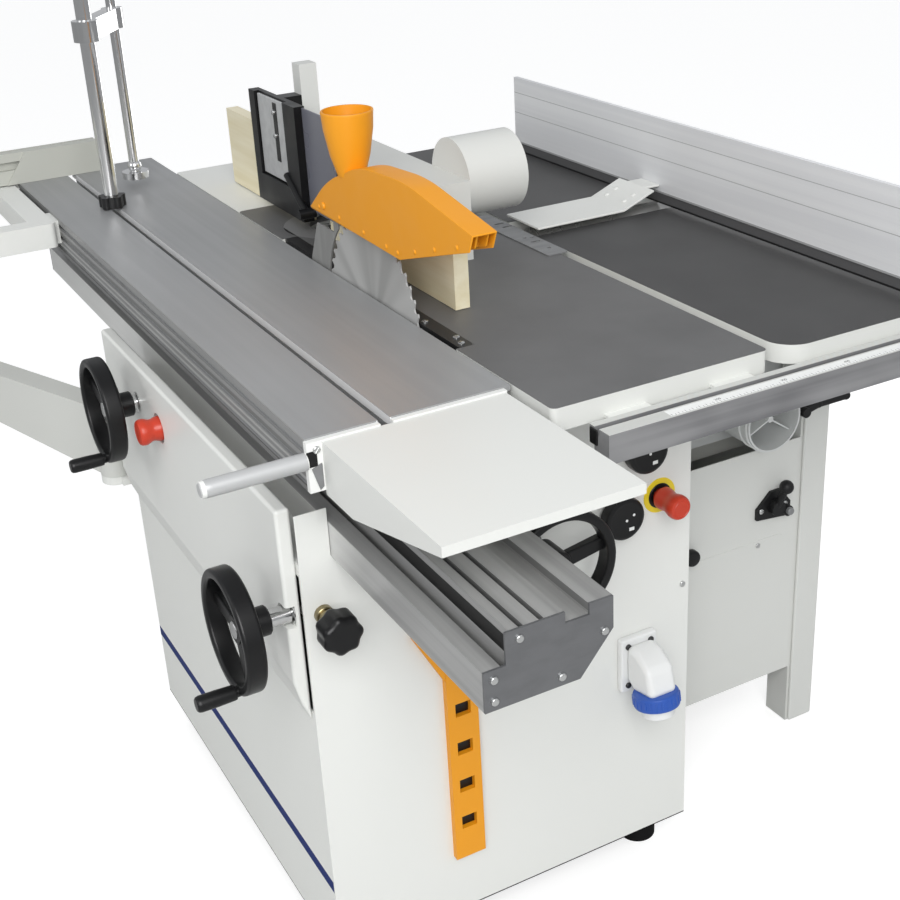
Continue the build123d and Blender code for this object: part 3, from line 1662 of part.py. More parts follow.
# Cutterblock with journals, knife slots and its belt pulley
def make_cutterblock():
    belt_start, belt_end = planer_belt_x()
    left = left_cheek + cheek + seat_gap
    right = right_cheek - seat_gap
    shaft = rod_x(left, right, cutter_y, cutter_z, cutter_radius - infeed_drop)
    for turn in (0, 120, 240):
        y = cutter_y + (cutter_radius - 2 * infeed_drop) * cos(radians(turn + 90))
        z = cutter_z + (cutter_radius - 2 * infeed_drop) * sin(radians(turn + 90))
        shaft -= rod_x(left, right, y, z, 2 * infeed_drop)
    shaft += rod_x(left_cheek, belt_end, cutter_y, cutter_z, cutter_journal_radius)
    return shaft + rod_x(belt_start, belt_end, cutter_y, cutter_z, cutter_pulley_radius)


def make_feed_roller(y):
    left = left_cheek + cheek + seat_gap
    right = right_cheek - seat_gap
    roller = rod_x(left, right, y, roller_z, roller_radius)
    return roller + rod_x(left_cheek, right_cheek + cheek, y, roller_z, roller_journal_radius)


# Thicknesser bed on its lifting screw
def make_thicknesser_bed():
    left = left_cheek + cheek + free_gap
    right = right_cheek - free_gap
    bottom = bed_top - bed_thickness
    bed = block(left, right, bed_front, bed_front + bed_length, bottom, bed_top)
    middle = (left + right) / 2
    screw_bottom = bottom - bed_travel - bed_screw_length + nut_bar
    return bed + rod_z(middle, cutter_y, screw_bottom, bottom, bed_screw_radius)


# Handwheel on a shaft along the local Z axis, rim plane at zero, shaft towards minus Z
def handwheel(standoff, grip_angle):
    seat = (Align.CENTER, Align.CENTER, Align.MIN)
    rim = Cylinder(wheel_radius, wheel_rim_depth)
    rim -= Cylinder(wheel_radius - wheel_rim, wheel_rim_depth)
    wheel = fillet(rim.edges().filter_by(GeomType.CIRCLE), wheel_rim_round)
    wheel += Pos(0, 0, -wheel_hub_length) * Cylinder(wheel_hub_radius, wheel_hub_length, align=seat)
    rim_middle = wheel_radius - wheel_rim / 2
    for index in range(wheel_spokes):
        angle = grip_angle + index * 360 / wheel_spokes
        spoke = Box(rim_middle, 2 * wheel_spoke, wheel_spoke)
        wheel += Rot(0, 0, angle) * Pos(rim_middle / 2, 0, -wheel_dish) * spoke
    length = standoff + wheel_shaft_inside
    wheel += Pos(0, 0, -length) * Cylinder(wheel_shaft_radius, length, align=seat)
    grip_x = rim_middle * cos(radians(grip_angle))
    grip_y = rim_middle * sin(radians(grip_angle))
    grip = Cylinder(grip_radius, grip_length, align=seat)
    wheel += Pos(grip_x, grip_y, 0) * grip
    return wheel


def make_front_handwheel():
    plane = Plane(
        origin=(front_wheel_x, cabinet_front - front_wheel_standoff, front_wheel_z),
        x_dir=(1, 0, 0), z_dir=(0, -1, 0),
    )
    return plane * handwheel(front_wheel_standoff, front_grip_angle)


def make_left_handwheel(y, z, standoff, grip_angle):
    plane = Plane(origin=(cover_face - standoff, y, z), x_dir=(0, -1, 0), z_dir=(-1, 0, 0))
    return plane * handwheel(standoff, grip_angle)


# Mushroom button on a stem along the local Z axis, panel face at zero
def stop_button():
    seat = (Align.CENTER, Align.CENTER, Align.MIN)
    cap = Pos(0, 0, stop_standoff) * Cylinder(stop_radius, stop_head, align=seat)
    cap = fillet(cap.edges().filter_by(GeomType.CIRCLE).sort_by(Axis.Z)[-1], stop_head / 3)
    stem = Pos(0, 0, -stop_inside) * Cylinder(
        stop_stem_radius, stop_inside + stop_standoff, align=seat
    )
    return cap + stem


def make_front_stop():
    plane = Plane(
        origin=(front_stop_x, cabinet_front, front_stop_z), x_dir=(1, 0, 0), z_dir=(0, -1, 0)
    )
    return plane * stop_button()


def make_side_stop():
    plane = Plane(
        origin=(cover_face, side_stop_y, side_stop_z), x_dir=(0, -1, 0), z_dir=(-1, 0, 0)
    )
    return plane * stop_button()


# Round selector knob with a raised bar across its face
def make_selector_knob(x, z):
    seat = (Align.CENTER, Align.CENTER, Align.MIN)
    knob = Pos(0, 0, knob_standoff) * Cylinder(knob_radius, knob_height / 2, align=seat)
    bar = Box(knob_radius / 2, 1.6 * knob_radius, knob_height / 2, align=seat)
    knob += Pos(0, 0, knob_standoff + knob_height / 2) * bar
    reach = stop_inside + knob_standoff
    knob += Pos(0, 0, -stop_inside) * Cylinder(knob_stem_radius, reach, align=seat)
    plane = Plane(origin=(x, cabinet_front, z), x_dir=(1, 0, 0), z_dir=(0, -1, 0))
    return plane * knob


# Round lock knob on its brass shaft
def make_lock_knob():
    seat = (Align.CENTER, Align.CENTER, Align.MIN)
    knob = Pos(0, 0, lock_standoff) * Cylinder(lock_radius, lock_height, align=seat)
    knob = fillet(knob.edges().filter_by(GeomType.CIRCLE), lock_height / 5)
    reach = stop_inside + lock_standoff
    knob += Pos(0, 0, -stop_inside) * Cylinder(lock_shaft_radius, reach, align=seat)
    plane = Plane(origin=(lock_x, cabinet_front, lock_z), x_dir=(1, 0, 0), z_dir=(0, -1, 0))
    return plane * knob


def make_feed_lever():
    front = planer_front - lever_plate - seat_gap
    face = front - lever_hub_radius
    lever = rod_y(lever_x, face, front, lever_z, lever_hub_radius)
    lever += rod_y(lever_x, front, planer_front + 2 * sheet, lever_z, lever_shaft_radius)
    middle = (face + front) / 2
    tip = (lever_x + lever_hub_radius / 2, middle - lever_hub_radius, lever_z + lever_length)
    lever += rod((lever_x, middle, lever_z), tip, lever_shaft_radius)
    return lever + Pos(*tip) * Sphere(lever_ball_radius)


# Clamp lever of the chip hood
def make_clamp_lever():
    front = clamp_lever_front()
    lever = rod_y(
        clamp_lever_x, front - clamp_lever_stem, hood_plate_y - free_gap, clamp_lever_z,
        clamp_lever_stem,
    )
    bend = clamp_lever_length / 3
    elbow = (clamp_lever_x + bend, front, clamp_lever_z + clamp_lever_radius)
    tip = (clamp_lever_x + clamp_lever_length, front, clamp_lever_z + clamp_lever_radius)
    lever += rod((clamp_lever_x, front, clamp_lever_z), elbow, clamp_lever_radius)
    lever += Pos(*elbow) * Sphere(clamp_lever_radius * 1.1)
    lever += rod(elbow, tip, clamp_lever_radius)
    return lever + Pos(*tip) * Sphere(clamp_lever_radius * 1.15)


parts = {
    "cabinet_body": make_cabinet_body(),
    "front_panel": make_front_panel(),
    "left_upper_cover": make_left_upper_cover(),
    "slide_beam": make_slide_beam(),
    "beam_end_plates": make_beam_end_plates(),
    "panel_screws": make_panel_screws(),
    "saw_table": make_saw_table(),
    "table_inserts": make_table_inserts(),
    "rear_table": make_rear_table(),
    "front_rail": make_front_rail(),
    "planer_base": make_planer_base(),
    "planer_front_panel": make_planer_front_panel(),
    "planer_cheeks": make_planer_cheeks(),
    "planer_motor": make_planer_motor(),
    "planer_belt": make_planer_belt(),
    "spindle_hood": make_spindle_hood(),
    "fence_boards": make_fence_boards(),
    "power_inlet": make_power_inlet(),
    "tool_holder": make_tool_holder(),
    "lever_bracket": make_lever_bracket(),
    "chip_hood": make_chip_hood(),
    "slide_table": make_slide_table(),
    "slide_end_handle": make_slide_end_handle(),
    "slide_front_cover": make_slide_front_cover(),
    "clamp_column": make_clamp_column(),
    "clamp_arm": make_clamp_arm(),
    "clamp_screw": make_clamp_screw(),
    "outrigger_frame": make_outrigger_frame(),
    "crosscut_fence": make_crosscut_fence(),
    "swing_arm": make_swing_arm(),
    "saw_trunnion": make_saw_trunnion(),
    "saw_carriage": make_saw_carriage(),
    "saw_motor": make_saw_motor(),
    "saw_motor_pulley": make_saw_motor_pulley(),
    "saw_belt": make_saw_belt(),
    "saw_arbor": make_saw_arbor(),
    "saw_blade": make_saw_blade(),
    "riving_knife": make_riving_knife(),
    "blade_guard": make_blade_guard(),
    "spindle_quill": make_spindle_quill(),
    "spindle_shaft": make_spindle_shaft(),
    "cutter_guard": make_cutter_guard(),
    "infeed_table": make_infeed_table(),
    "outfeed_table": make_outfeed_table(),
    "planer_fence": make_planer_fence(),
    "bridge_guard": make_bridge_guard(),
    "cutterblock": make_cutterblock(),
    "infeed_roller": make_feed_roller(cutter_y - roller_spacing),
    "outfeed_roller": make_feed_roller(cutter_y + roller_spacing),
    "thicknesser_bed": make_thicknesser_bed(),
    "front_handwheel": make_front_handwheel(),
    "low_handwheel": make_left_handwheel(
        low_wheel_y, low_wheel_z, low_wheel_standoff, low_grip_angle
    ),
    "high_handwheel": make_left_handwheel(
        high_wheel_y, high_wheel_z, high_wheel_standoff, high_grip_angle
    ),
    "front_stop": make_front_stop(),
    "side_stop": make_side_stop(),
    "low_knob": make_selector_knob(low_knob_x, low_knob_z),
    "high_knob": make_selector_knob(high_knob_x, high_knob_z),
    "lock_knob": make_lock_knob(),
    "feed_lever": make_feed_lever(),
    "clamp_lever": make_clamp_lever(),
}

# Middle of the footprint, from the outermost pieces on each side
footprint_left = outrigger_right - outrigger_width
footprint_right = rail_left + rail_length
footprint_front = beam_front - end_plate - screw_head_height
footprint_back = outrigger_front + outrigger_depth
footprint_x = (footprint_left + footprint_right) / 2
footprint_y = (footprint_front + footprint_back) / 2
to_origin = Pos(-footprint_x, -footprint_y, 0)

os.makedirs("parts", exist_ok=True)
for name, part in parts.items():
    solids = [to_origin * solid for solid in part.solids()]
    placed = Compound(children=solids) if len(solids) > 1 else solids[0]
    export_step(placed, os.path.join("parts", name + ".step"))
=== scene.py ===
from math import cos, pi, radians, sin
import bpy
from mathutils import Matrix, Vector


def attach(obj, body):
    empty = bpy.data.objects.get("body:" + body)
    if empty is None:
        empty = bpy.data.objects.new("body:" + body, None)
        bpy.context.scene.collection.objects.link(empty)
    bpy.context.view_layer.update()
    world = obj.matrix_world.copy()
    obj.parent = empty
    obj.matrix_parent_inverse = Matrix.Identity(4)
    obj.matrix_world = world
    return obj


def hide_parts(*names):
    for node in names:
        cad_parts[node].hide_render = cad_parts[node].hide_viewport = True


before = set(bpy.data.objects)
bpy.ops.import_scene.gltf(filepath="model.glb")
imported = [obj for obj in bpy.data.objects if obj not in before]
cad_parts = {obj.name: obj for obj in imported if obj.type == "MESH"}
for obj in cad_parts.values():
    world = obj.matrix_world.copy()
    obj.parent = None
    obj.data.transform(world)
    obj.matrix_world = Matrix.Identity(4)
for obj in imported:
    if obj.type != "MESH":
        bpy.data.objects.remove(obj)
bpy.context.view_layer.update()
print("machine loaded,", len(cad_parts), "solids")

mm = 0.001
hair = 1e-5  # shorter than any edge, in metres
zero = Vector((60, -186, 0))  # saw arbor and cut line of the blade, from the middle of the footprint, in mm


def at(x, y, z):
    return (Vector((x, y, z)) + zero) * mm


def rgb(code):
    parts = [int(code[i:i + 2], 16) / 255 for i in (0, 2, 4)]
    lin = [c / 12.92 if c <= 0.04045 else ((c + 0.055) / 1.055) ** 2.4 for c in parts]
    return (*lin, 1.0)


# a wire does sums on a socket, a paint makes nodes
class Wire:
    def __init__(self, paint, socket):
        self.paint = paint
        self.socket = socket

    def sums(self, operation, first, second):
        return self.paint.node("ShaderNodeMath", {"operation": operation}, {0: first, 1: second})

    def __add__(self, other):
        return self.sums("ADD", self, other)

    def __radd__(self, other):
        return self.sums("ADD", other, self)

    def __sub__(self, other):
        return self.sums("SUBTRACT", self, other)

    def __rsub__(self, other):
        return self.sums("SUBTRACT", other, self)

    def __mul__(self, other):
        return self.sums("MULTIPLY", self, other)

    def __rmul__(self, other):
        return self.sums("MULTIPLY", other, self)

    def __gt__(self, other):
        return self.sums("GREATER_THAN", self, other)

    def __lt__(self, other):
        return self.sums("LESS_THAN", self, other)


class Paint:
    def __init__(self, name):
        self.material = bpy.data.materials.new(name)
        self.material.use_nodes = True
        self.tree = self.material.node_tree
        self.shader = self.tree.nodes["Principled BSDF"]

    def node(self, kind, settings=None, inputs=None, out=0):
        made = self.tree.nodes.new(kind)
        for key, value in (settings or {}).items():
            setattr(made, key, value)
        for key, value in (inputs or {}).items():
            self.feed(made.inputs[key], value)
        return Wire(self, made.outputs[out])

    def feed(self, socket, value):
        if isinstance(value, Wire):
            self.tree.links.new(value.socket, socket)
        else:
            socket.default_value = value

    def place(self, scale):
        spot = self.node("ShaderNodeTexCoord", out="Object")
        return self.node("ShaderNodeMapping", None, {"Vector": spot, "Scale": scale})

    def axes(self):
        spot = self.node("ShaderNodeTexCoord", out="Object")
        return [self.node("ShaderNodeSeparateXYZ", None, {0: spot}, out=i) for i in range(3)]

    def noise(self, scale, detail=2.0, stretch=(1, 1, 1)):
        return self.node("ShaderNodeTexNoise", None,
                         {"Vector": self.place(stretch), "Scale": scale, "Detail": detail})

    def brush(self, stretch):
        return self.noise(60.0, 4.0, stretch)

    def mix(self, factor, low, high):
        return self.node("ShaderNodeMix", {"data_type": "RGBA"}, {0: factor, 6: low, 7: high}, out=2)

    def span(self, value, low=0.3, high=0.7, start=0.0, end=1.0):
        return self.node("ShaderNodeMapRange", {"interpolation_type": "SMOOTHSTEP"},
                         {"Value": value, "From Min": low, "From Max": high, "To Min": start, "To Max": end})

    def within(self, value, low, high):
        return (value > low) * (value < high)

    def bump(self, height, strength, depth=0.0002):
        return self.node("ShaderNodeBump", None, {"Height": height, "Strength": strength, "Distance": depth})

    def peel(self):
        return self.bump(self.noise(900.0), 0.06)

    def coat(self, **values):
        for key, value in values.items():
            self.feed(self.shader.inputs[key.replace("_", " ")], value)
        return self.material


def enamel(name, colour, rough=0.4):
    paint = Paint(name)
    cloud = paint.noise(9.0)
    return paint.coat(Base_Color=rgb(colour), Normal=paint.peel(),
                      Roughness=paint.span(cloud, start=rough - 0.04, end=rough + 0.05))


def brushed(name, colour, stretch, rough=0.34, metal=0.85, strength=0.12):
    paint = Paint(name)
    lines = paint.brush(stretch)
    cloud = paint.noise(5.0)
    base = rgb(colour)
    worn = (*[c * 0.72 for c in base[:3]], 1)
    tone = paint.mix(paint.span(lines) * 0.35 + cloud * 0.3, base, worn)
    return paint.coat(Base_Color=tone, Metallic=metal,
                      Roughness=paint.span(lines, start=rough - 0.06, end=rough + 0.08),
                      Normal=paint.bump(lines, strength))


def plastic(name, colour, rough=0.35, grain=1400.0, strength=0.05, shine=0.5):
    paint = Paint(name)
    paint.shader.inputs["Specular IOR Level"].default_value = shine
    cloud = paint.noise(14.0)
    return paint.coat(Base_Color=rgb(colour), Roughness=paint.span(cloud, start=rough - 0.05, end=rough + 0.06),
                      Normal=paint.bump(paint.noise(grain, 1.0), strength))


topSkin = 0.0006  # what counts as the worked top of a casting, in metres


def castTop(name, top, dark="636363", light="707070", sides="d5d6d2"):
    paint = Paint(name)
    worked = paint.axes()[2] > top - topSkin
    cloud = paint.noise(6.0, 4.0)
    speck = paint.noise(1300.0, 3.0)
    iron = paint.mix(paint.span(cloud * 0.6 + speck * 0.4, 0.35, 0.65), rgb(dark), rgb(light))
    return paint.coat(Base_Color=paint.mix(worked, rgb(sides), iron), Metallic=worked * 0.25,
                      Roughness=paint.span(speck, start=0.42, end=0.56), Normal=paint.bump(speck, 0.16, 0.0003))


# levels and edges in the paints are in metres, in the shared frame
# the blade's tones are a painted sheen round the arbor
bladeLook = {"height": 0.828, "along": -0.186, "tones": ("a3a3a1", "c0c0be")}


def bladePaint(name):
    # painted highlight: a soft fan of sheen round the arbor, lighter and darker by angle
    paint = Paint(name)
    _, y, z = paint.axes()
    spin = paint.node("ShaderNodeMath", {"operation": "ARCTAN2"},
                      {0: z - bladeLook["height"], 1: y - bladeLook["along"]})
    sheenFan = paint.node("ShaderNodeTexNoise", {"noise_dimensions": "1D"}, {"W": spin, "Scale": 1.7, "Detail": 1.0})
    tone = paint.mix(paint.span(sheenFan, 0.35, 0.65), *map(rgb, bladeLook["tones"]))
    return paint.coat(Base_Color=tone, Metallic=0.3, Roughness=paint.span(sheenFan, start=0.42, end=0.36),
                      Normal=paint.bump(paint.noise(1100.0), 0.05))


slideLook = {"deck": ("9d9e9f", "868787"), "slot": (-0.1195, -0.1005), "slotTop": 0.8694, "slotWallLit": "e4e4e4",
             "flankEdge": -0.2085, "flank": "8b8b8a",
             "ribs": [(0.838, 0.846, "676766"), (0.829, 0.8365, "a3a3a1"), (0.824, 0.8285, "757574"),
                      (0.8165, 0.8235, "a3a3a1"), (0.79, 0.8155, "646463")]}


def slidePaint(name):
    # brushed deck; flank painted darker as shade on the side, its ribs as bands of painted highlight and shade; slot
    # walls painted lighter as light reaching into the slot
    paint = Paint(name)
    x, _, z = paint.axes()
    lines = paint.brush((1, 0.02, 1))
    cloud = paint.span(lines) * 0.12 + paint.noise(4.0) * 0.6
    # painted light on the slot walls
    slot = paint.within(x, *slideLook["slot"]) * (z < slideLook["slotTop"])
    deck = paint.mix(slot, paint.mix(cloud, *map(rgb, slideLook["deck"])), rgb(slideLook["slotWallLit"]))
    # the flank's darker colour and rib bands are painted shade and highlight
    flank = rgb(slideLook["flank"])
    for low, high, shade in slideLook["ribs"]:
        flank = paint.mix(paint.within(z, low, high), flank, rgb(shade))
    tone = paint.mix(x < slideLook["flankEdge"], deck, flank)
    return paint.coat(Base_Color=tone, Metallic=0.12, Roughness=paint.span(lines, start=0.34, end=0.4),
                      Normal=paint.bump(lines, 0.02))


beamLook = {"tones": ("a9a9a8", "929291"), "line": (-0.1463, -0.1352), "lineHeight": (0.737, 0.757), "grooveShadow": "161616",
            "slotsFrom": -0.134, "slotHeight": (0.7565, 0.7655), "slotShade": "4c4c4c",
            "flankEdge": -0.1665, "flankTop": 0.727, "flankFade": (-0.62, -0.45), "flankPaintedLight": "e0e0de"}


def beamPaint(name):
    # bright extrusion; black line along the wall over the ledge is painted shadow of the groove, slot bands are painted
    # shade, and the left flank behind the front is painted lighter as light on its shade
    paint = Paint(name)
    x, y, z = paint.axes()
    lines = paint.brush((1, 0.015, 1))
    tone = paint.mix(paint.span(lines), *map(rgb, beamLook["tones"]))
    slots = (x > beamLook["slotsFrom"]) * paint.within(z, *beamLook["slotHeight"])
    tone = paint.mix(slots * 0.6, tone, rgb(beamLook["slotShade"]))
    # painted light on the shaded left flank behind the front
    flank = (x < beamLook["flankEdge"]) * (z < beamLook["flankTop"]) * paint.span(y, *beamLook["flankFade"])
    tone = paint.mix(flank, tone, rgb(beamLook["flankPaintedLight"]))
    # black line on the wall over the ledge: painted shadow of the groove
    line = paint.within(x, *beamLook["line"]) * paint.within(z, *beamLook["lineHeight"])
    return paint.coat(Base_Color=paint.mix(line, tone, rgb(beamLook["grooveShadow"])), Metallic=0.25,
                      Roughness=paint.span(lines, start=0.32, end=0.44), Normal=paint.bump(lines, 0.08))


columnLook = {"knobTop": 0.8925}


def columnPaint(name):
    # black star knob, chrome over it
    paint = Paint(name)
    metal = paint.axes()[2] > columnLook["knobTop"]
    return paint.coat(Base_Color=paint.mix(metal, rgb("121213"), rgb("e4e4e4")), Metallic=metal,
                      Roughness=0.4 - metal * 0.28)


screwLook = {"inlet": (0.24, 0.312), "inletTop": 0.415}


def screwPaint(name):
    # bright heads, dark ones on the inlet plate
    paint = Paint(name)
    x, _, z = paint.axes()
    dark = paint.within(x, *screwLook["inlet"]) * (z < screwLook["inletTop"])
    return paint.coat(Base_Color=paint.mix(dark, rgb("d2d3d2"), rgb("3a3b3c")),
                      Metallic=1.0 - dark * 0.6, Roughness=0.28)


def boardPaint(name):
    paint = Paint(name)
    grain = paint.noise(40.0, 5.0, (1, 0.06, 1))
    tone = paint.mix(paint.span(grain), rgb("eee6cb"), rgb("e2d7b4"))
    return paint.coat(Base_Color=tone, Roughness=0.55, Normal=paint.bump(grain, 0.12, 0.0003))


fenceLook = {"tones": ("e4e5e6", "dadbdd"), "grooves": (0.945, 0.982), "groove": 0.0012, "grooveShade": "a9aaab",
             "steps": [(0.8915, "a2a3a4"), (0.8878, "575758"), (0.8734, "121213")]}


def fencePaint(name):
    # grooved face with painted shade in the grooves, with lip, dark strip and a black line below, painted shadow of the
    # gap over the table
    paint = Paint(name)
    z = paint.axes()[2]
    lines = paint.brush((1, 0.015, 1))
    tone = paint.mix(paint.span(lines), *map(rgb, fenceLook["tones"]))
    for level in fenceLook["grooves"]:
        tone = paint.mix(paint.within(z, level, level + fenceLook["groove"]), tone, rgb(fenceLook["grooveShade"]))
    # the lowest step, black, is painted shadow of the gap over the table
    for level, shade in fenceLook["steps"]:
        tone = paint.mix(z < level, tone, rgb(shade))
    return paint.coat(Base_Color=tone, Metallic=0.1,
                      Roughness=paint.span(lines, start=0.36, end=0.48), Normal=paint.bump(lines, 0.06))


cabinetLook = {"white": "e2e3df", "blue": "0a2468", "line": (0.169, 0.188), "lineEdge": -0.2, "feetAndShadeTop": 0.052,
               "shine": 0.05}


def cabinetPaint(name):
    # white with a blue line on the left; black band at the bottom for the feet and painted shade of the gap under the
    # sheet
    paint = Paint(name)
    paint.shader.inputs["Specular IOR Level"].default_value = cabinetLook["shine"]
    x, _, z = paint.axes()
    # black band at the bottom: the feet, with painted shade of the gap under the cabinet sheet
    feetAndShade = z < cabinetLook["feetAndShadeTop"]
    line = paint.within(z, *cabinetLook["line"]) * (x < cabinetLook["lineEdge"])
    tone = paint.mix(line, rgb(cabinetLook["white"]), rgb(cabinetLook["blue"]))
    return paint.coat(Base_Color=paint.mix(feetAndShade, tone, rgb("1b1b1c")), Roughness=0.42 + feetAndShade * 0.2,
                      Normal=paint.peel())


railLook = {"front": ("68686a", "8a8a8b"), "top": 0.8474, "topLit": "c9cac6", "standoffs": -0.6742, "white": "e2e3df"}


def railPaint(name):
    # dull front, top painted paler as light falling from above, white standoffs behind
    paint = Paint(name)
    _, y, z = paint.axes()
    lines = paint.brush((0.015, 1, 1))
    cloud = paint.noise(6.0, 2.0, (1, 0.4, 2))
    front = paint.mix(paint.span(lines * 0.4 + cloud * 0.6, 0.38, 0.62), *map(rgb, railLook["front"]))
    # top face painted paler: painted light from above
    tone = paint.mix(z > railLook["top"], front, rgb(railLook["topLit"]))
    tone = paint.mix(y > railLook["standoffs"], tone, rgb(railLook["white"]))
    return paint.coat(Base_Color=tone, Metallic=0.1,
                      Roughness=paint.span(lines, start=0.36, end=0.46), Normal=paint.bump(lines, 0.06))


def splitPaint(name, axis, level, below, above, rough=0.4):
    # one colour under the level, another over it
    paint = Paint(name)
    part = paint.axes()[axis] > level
    return paint.coat(Base_Color=paint.mix(part, rgb(below), rgb(above)), Roughness=rough,
                      Normal=paint.peel())


# each finish: its paint, then the paint's values in order
recipes = {
    "whitePaint": (enamel, "e2e3df"),
    # white paint made darker for the planer parts and hood: painted shade
    "planerWhite": (enamel, "d3d4d0"),
    # white paint made darker for the slide cover: painted shade on its lit top
    "coverWhite": (enamel, "dbdcd8"),
    "armWhite": (enamel, "cdcec9"),
    "slideEndWhite": (enamel, "e6e7e4", 0.38),
    "knifeSteel": (brushed, "9a9a98", (1, 1, 0.1), 0.42, 0.3, 0.05),
    "darkPlate": (brushed, "767779", (0.5, 1, 1), 0.42, 0.5),
    "machined": (brushed, "b4b4b2", (1, 0.05, 0.4), 0.3, 0.7),
    "brightScrew": (brushed, "d2d3d2", (1, 1, 1), 0.24, 1.0, 0.02),
    "chrome": (brushed, "e4e4e4", (1, 1, 0.05), 0.12, 1.0, 0.02),
    "steel": (brushed, "a5a5a3", (1, 1, 0.2), 0.34, 0.9),
    "blackPlastic": (plastic, "0f0f10", 0.36, 1400.0, 0.05, 0.35),
    "blackIron": (plastic, "141415", 0.5, 700.0, 0.12, 0.35),
    "beltRubber": (plastic, "19191a", 0.62, 500.0, 0.12),
    "guardOrange": (plastic, "e89a14", 0.46),
    "stopRed": (plastic, "c23a22", 0.34),
    "stopYellow": (plastic, "ecd22c", 0.42),
    "socketBlue": (plastic, "2a55ad", 0.36),
    "socketWhite": (plastic, "e4e5e4", 0.4),
    "hoodGrey": (plastic, "cdcfce", 0.45),
    "motorPaint": (enamel, "6f7a80", 0.5),
    "sawIron": (castTop, 0.870),
    # planer tables in darker iron than the saw table: painted shade and reflection of the fence
    "infeedIron": (castTop, 0.867, "454545", "4f4f4f"),
    "outfeedIron": (castTop, 0.870, "4c4c4c", "565656"),
    "bedIron": (castTop, 0.540, "a3a3a1", "b4b4b2", "b0b1ac"),
    "paleOlive": (enamel, "bbbcb4", 0.45),
    "brass": (brushed, "94896a", (1, 1, 1), 0.28, 0.95, 0.03),
    "handleAlu": (brushed, "c9caca", (0.1, 1, 1), 0.4, 0.35, 0.04),
    "stripGrey": (brushed, "8f9091", (0.1, 1, 1), 0.42, 0.4, 0.05),
    "tapeWhite": (plastic, "ebecea", 0.5),
    "tickInk": (plastic, "2b2b2c", 0.6),
    "smokedScreen": (plastic, "6e6f78", 0.3),
    "lampGreen": (plastic, "b6c33a", 0.3),
    "railAlu": (railPaint,),
    "slideAlu": (slidePaint,),
    "beamAlu": (beamPaint,),
    "columnChrome": (columnPaint,),
    "panelScrew": (screwPaint,),
    "insertBlack": (splitPaint, 0, 0.0865, "1c1c1d", "7b7b7b", 0.45),
    "bladeSteel": (bladePaint,),
    "boardWood": (boardPaint,),
    "fenceAlu": (fencePaint,),
    "cabinetWhite": (cabinetPaint,),
}
finishes = {name: make(name, *values) for name, (make, *values) in recipes.items()}

dress = {
    "cabinetWhite": ["cabinet_body"],
    "whitePaint": ["front_panel", "left_upper_cover", "outrigger_frame", "bridge_guard", "rear_table"],
    "coverWhite": ["slide_front_cover"],
    "planerWhite": ["planer_base", "planer_front_panel", "planer_cheeks", "spindle_hood"],
    "armWhite": ["swing_arm"],
    "slideEndWhite": ["slide_end_handle"],
    "slideAlu": ["slide_table"],
    "beamAlu": ["slide_beam"],
    "railAlu": ["front_rail"],
    "darkPlate": ["beam_end_plates"],
    "panelScrew": ["panel_screws"],
    "sawIron": ["saw_table"],
    "infeedIron": ["infeed_table"],
    "outfeedIron": ["outfeed_table"],
    "fenceAlu": ["planer_fence"],
    "bladeSteel": ["saw_blade"],
    "knifeSteel": ["riving_knife"],
    "bedIron": ["thicknesser_bed"],
    "machined": ["infeed_roller", "outfeed_roller", "cutterblock", "spindle_quill", "spindle_shaft",
                 "saw_arbor"],
    "paleOlive": ["crosscut_fence"],
    "steel": ["saw_trunnion", "saw_carriage", "saw_motor_pulley"],
    "motorPaint": ["saw_motor", "planer_motor"],
    "beltRubber": ["saw_belt", "planer_belt"],
    "boardWood": ["fence_boards"],
    "chrome": ["clamp_screw", "clamp_arm"],
    "columnChrome": ["clamp_column"],
    "guardOrange": ["blade_guard", "tool_holder"],
    "hoodGrey": ["chip_hood"],
    "socketWhite": ["power_inlet"],
    "stopRed": ["front_stop", "side_stop"],
    "blackPlastic": ["front_handwheel", "low_handwheel", "high_handwheel", "low_knob", "high_knob", "lock_knob",
                     "cutter_guard"],
    "insertBlack": ["table_inserts"],
    "blackIron": ["feed_lever", "clamp_lever", "lever_bracket"],
}
for finish, nodes in dress.items():
    for name in nodes:
        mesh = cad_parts[name].data
        mesh.materials.clear()
        mesh.materials.append(finishes[finish])
left = set(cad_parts) - {name for nodes in dress.values() for name in nodes}
print("solids painted, left bare:", sorted(left))


# modelling moves, all on the active object
def lay():
    if bpy.context.mode != "OBJECT":
        bpy.ops.object.mode_set(mode="OBJECT")
    bpy.ops.object.select_all(action="DESELECT")


def done():
    if bpy.context.mode != "OBJECT":
        bpy.ops.object.mode_set(mode="OBJECT")
    bpy.ops.object.transform_apply(location=True, rotation=True, scale=True)
    return bpy.context.object


def editAll():
    bpy.ops.object.mode_set(mode="EDIT")
    bpy.ops.mesh.select_mode(type="VERT")
    bpy.ops.mesh.select_all(action="SELECT")


def push(step):
    bpy.ops.mesh.extrude_region_move(TRANSFORM_OT_translate={"value": step})


def tidyNormals():
    bpy.ops.mesh.select_all(action="SELECT")
    bpy.ops.mesh.remove_doubles(threshold=1e-6)
    bpy.ops.mesh.normals_make_consistent(inside=False)


def pickFaces(test):
    bpy.ops.object.mode_set(mode="EDIT")
    bpy.ops.mesh.select_mode(type="FACE")
    bpy.ops.mesh.select_all(action="DESELECT")
    bpy.ops.object.mode_set(mode="OBJECT")
    for face in bpy.context.object.data.polygons:
        face.select = bool(test(face.center, face.normal))
    bpy.ops.object.mode_set(mode="EDIT")


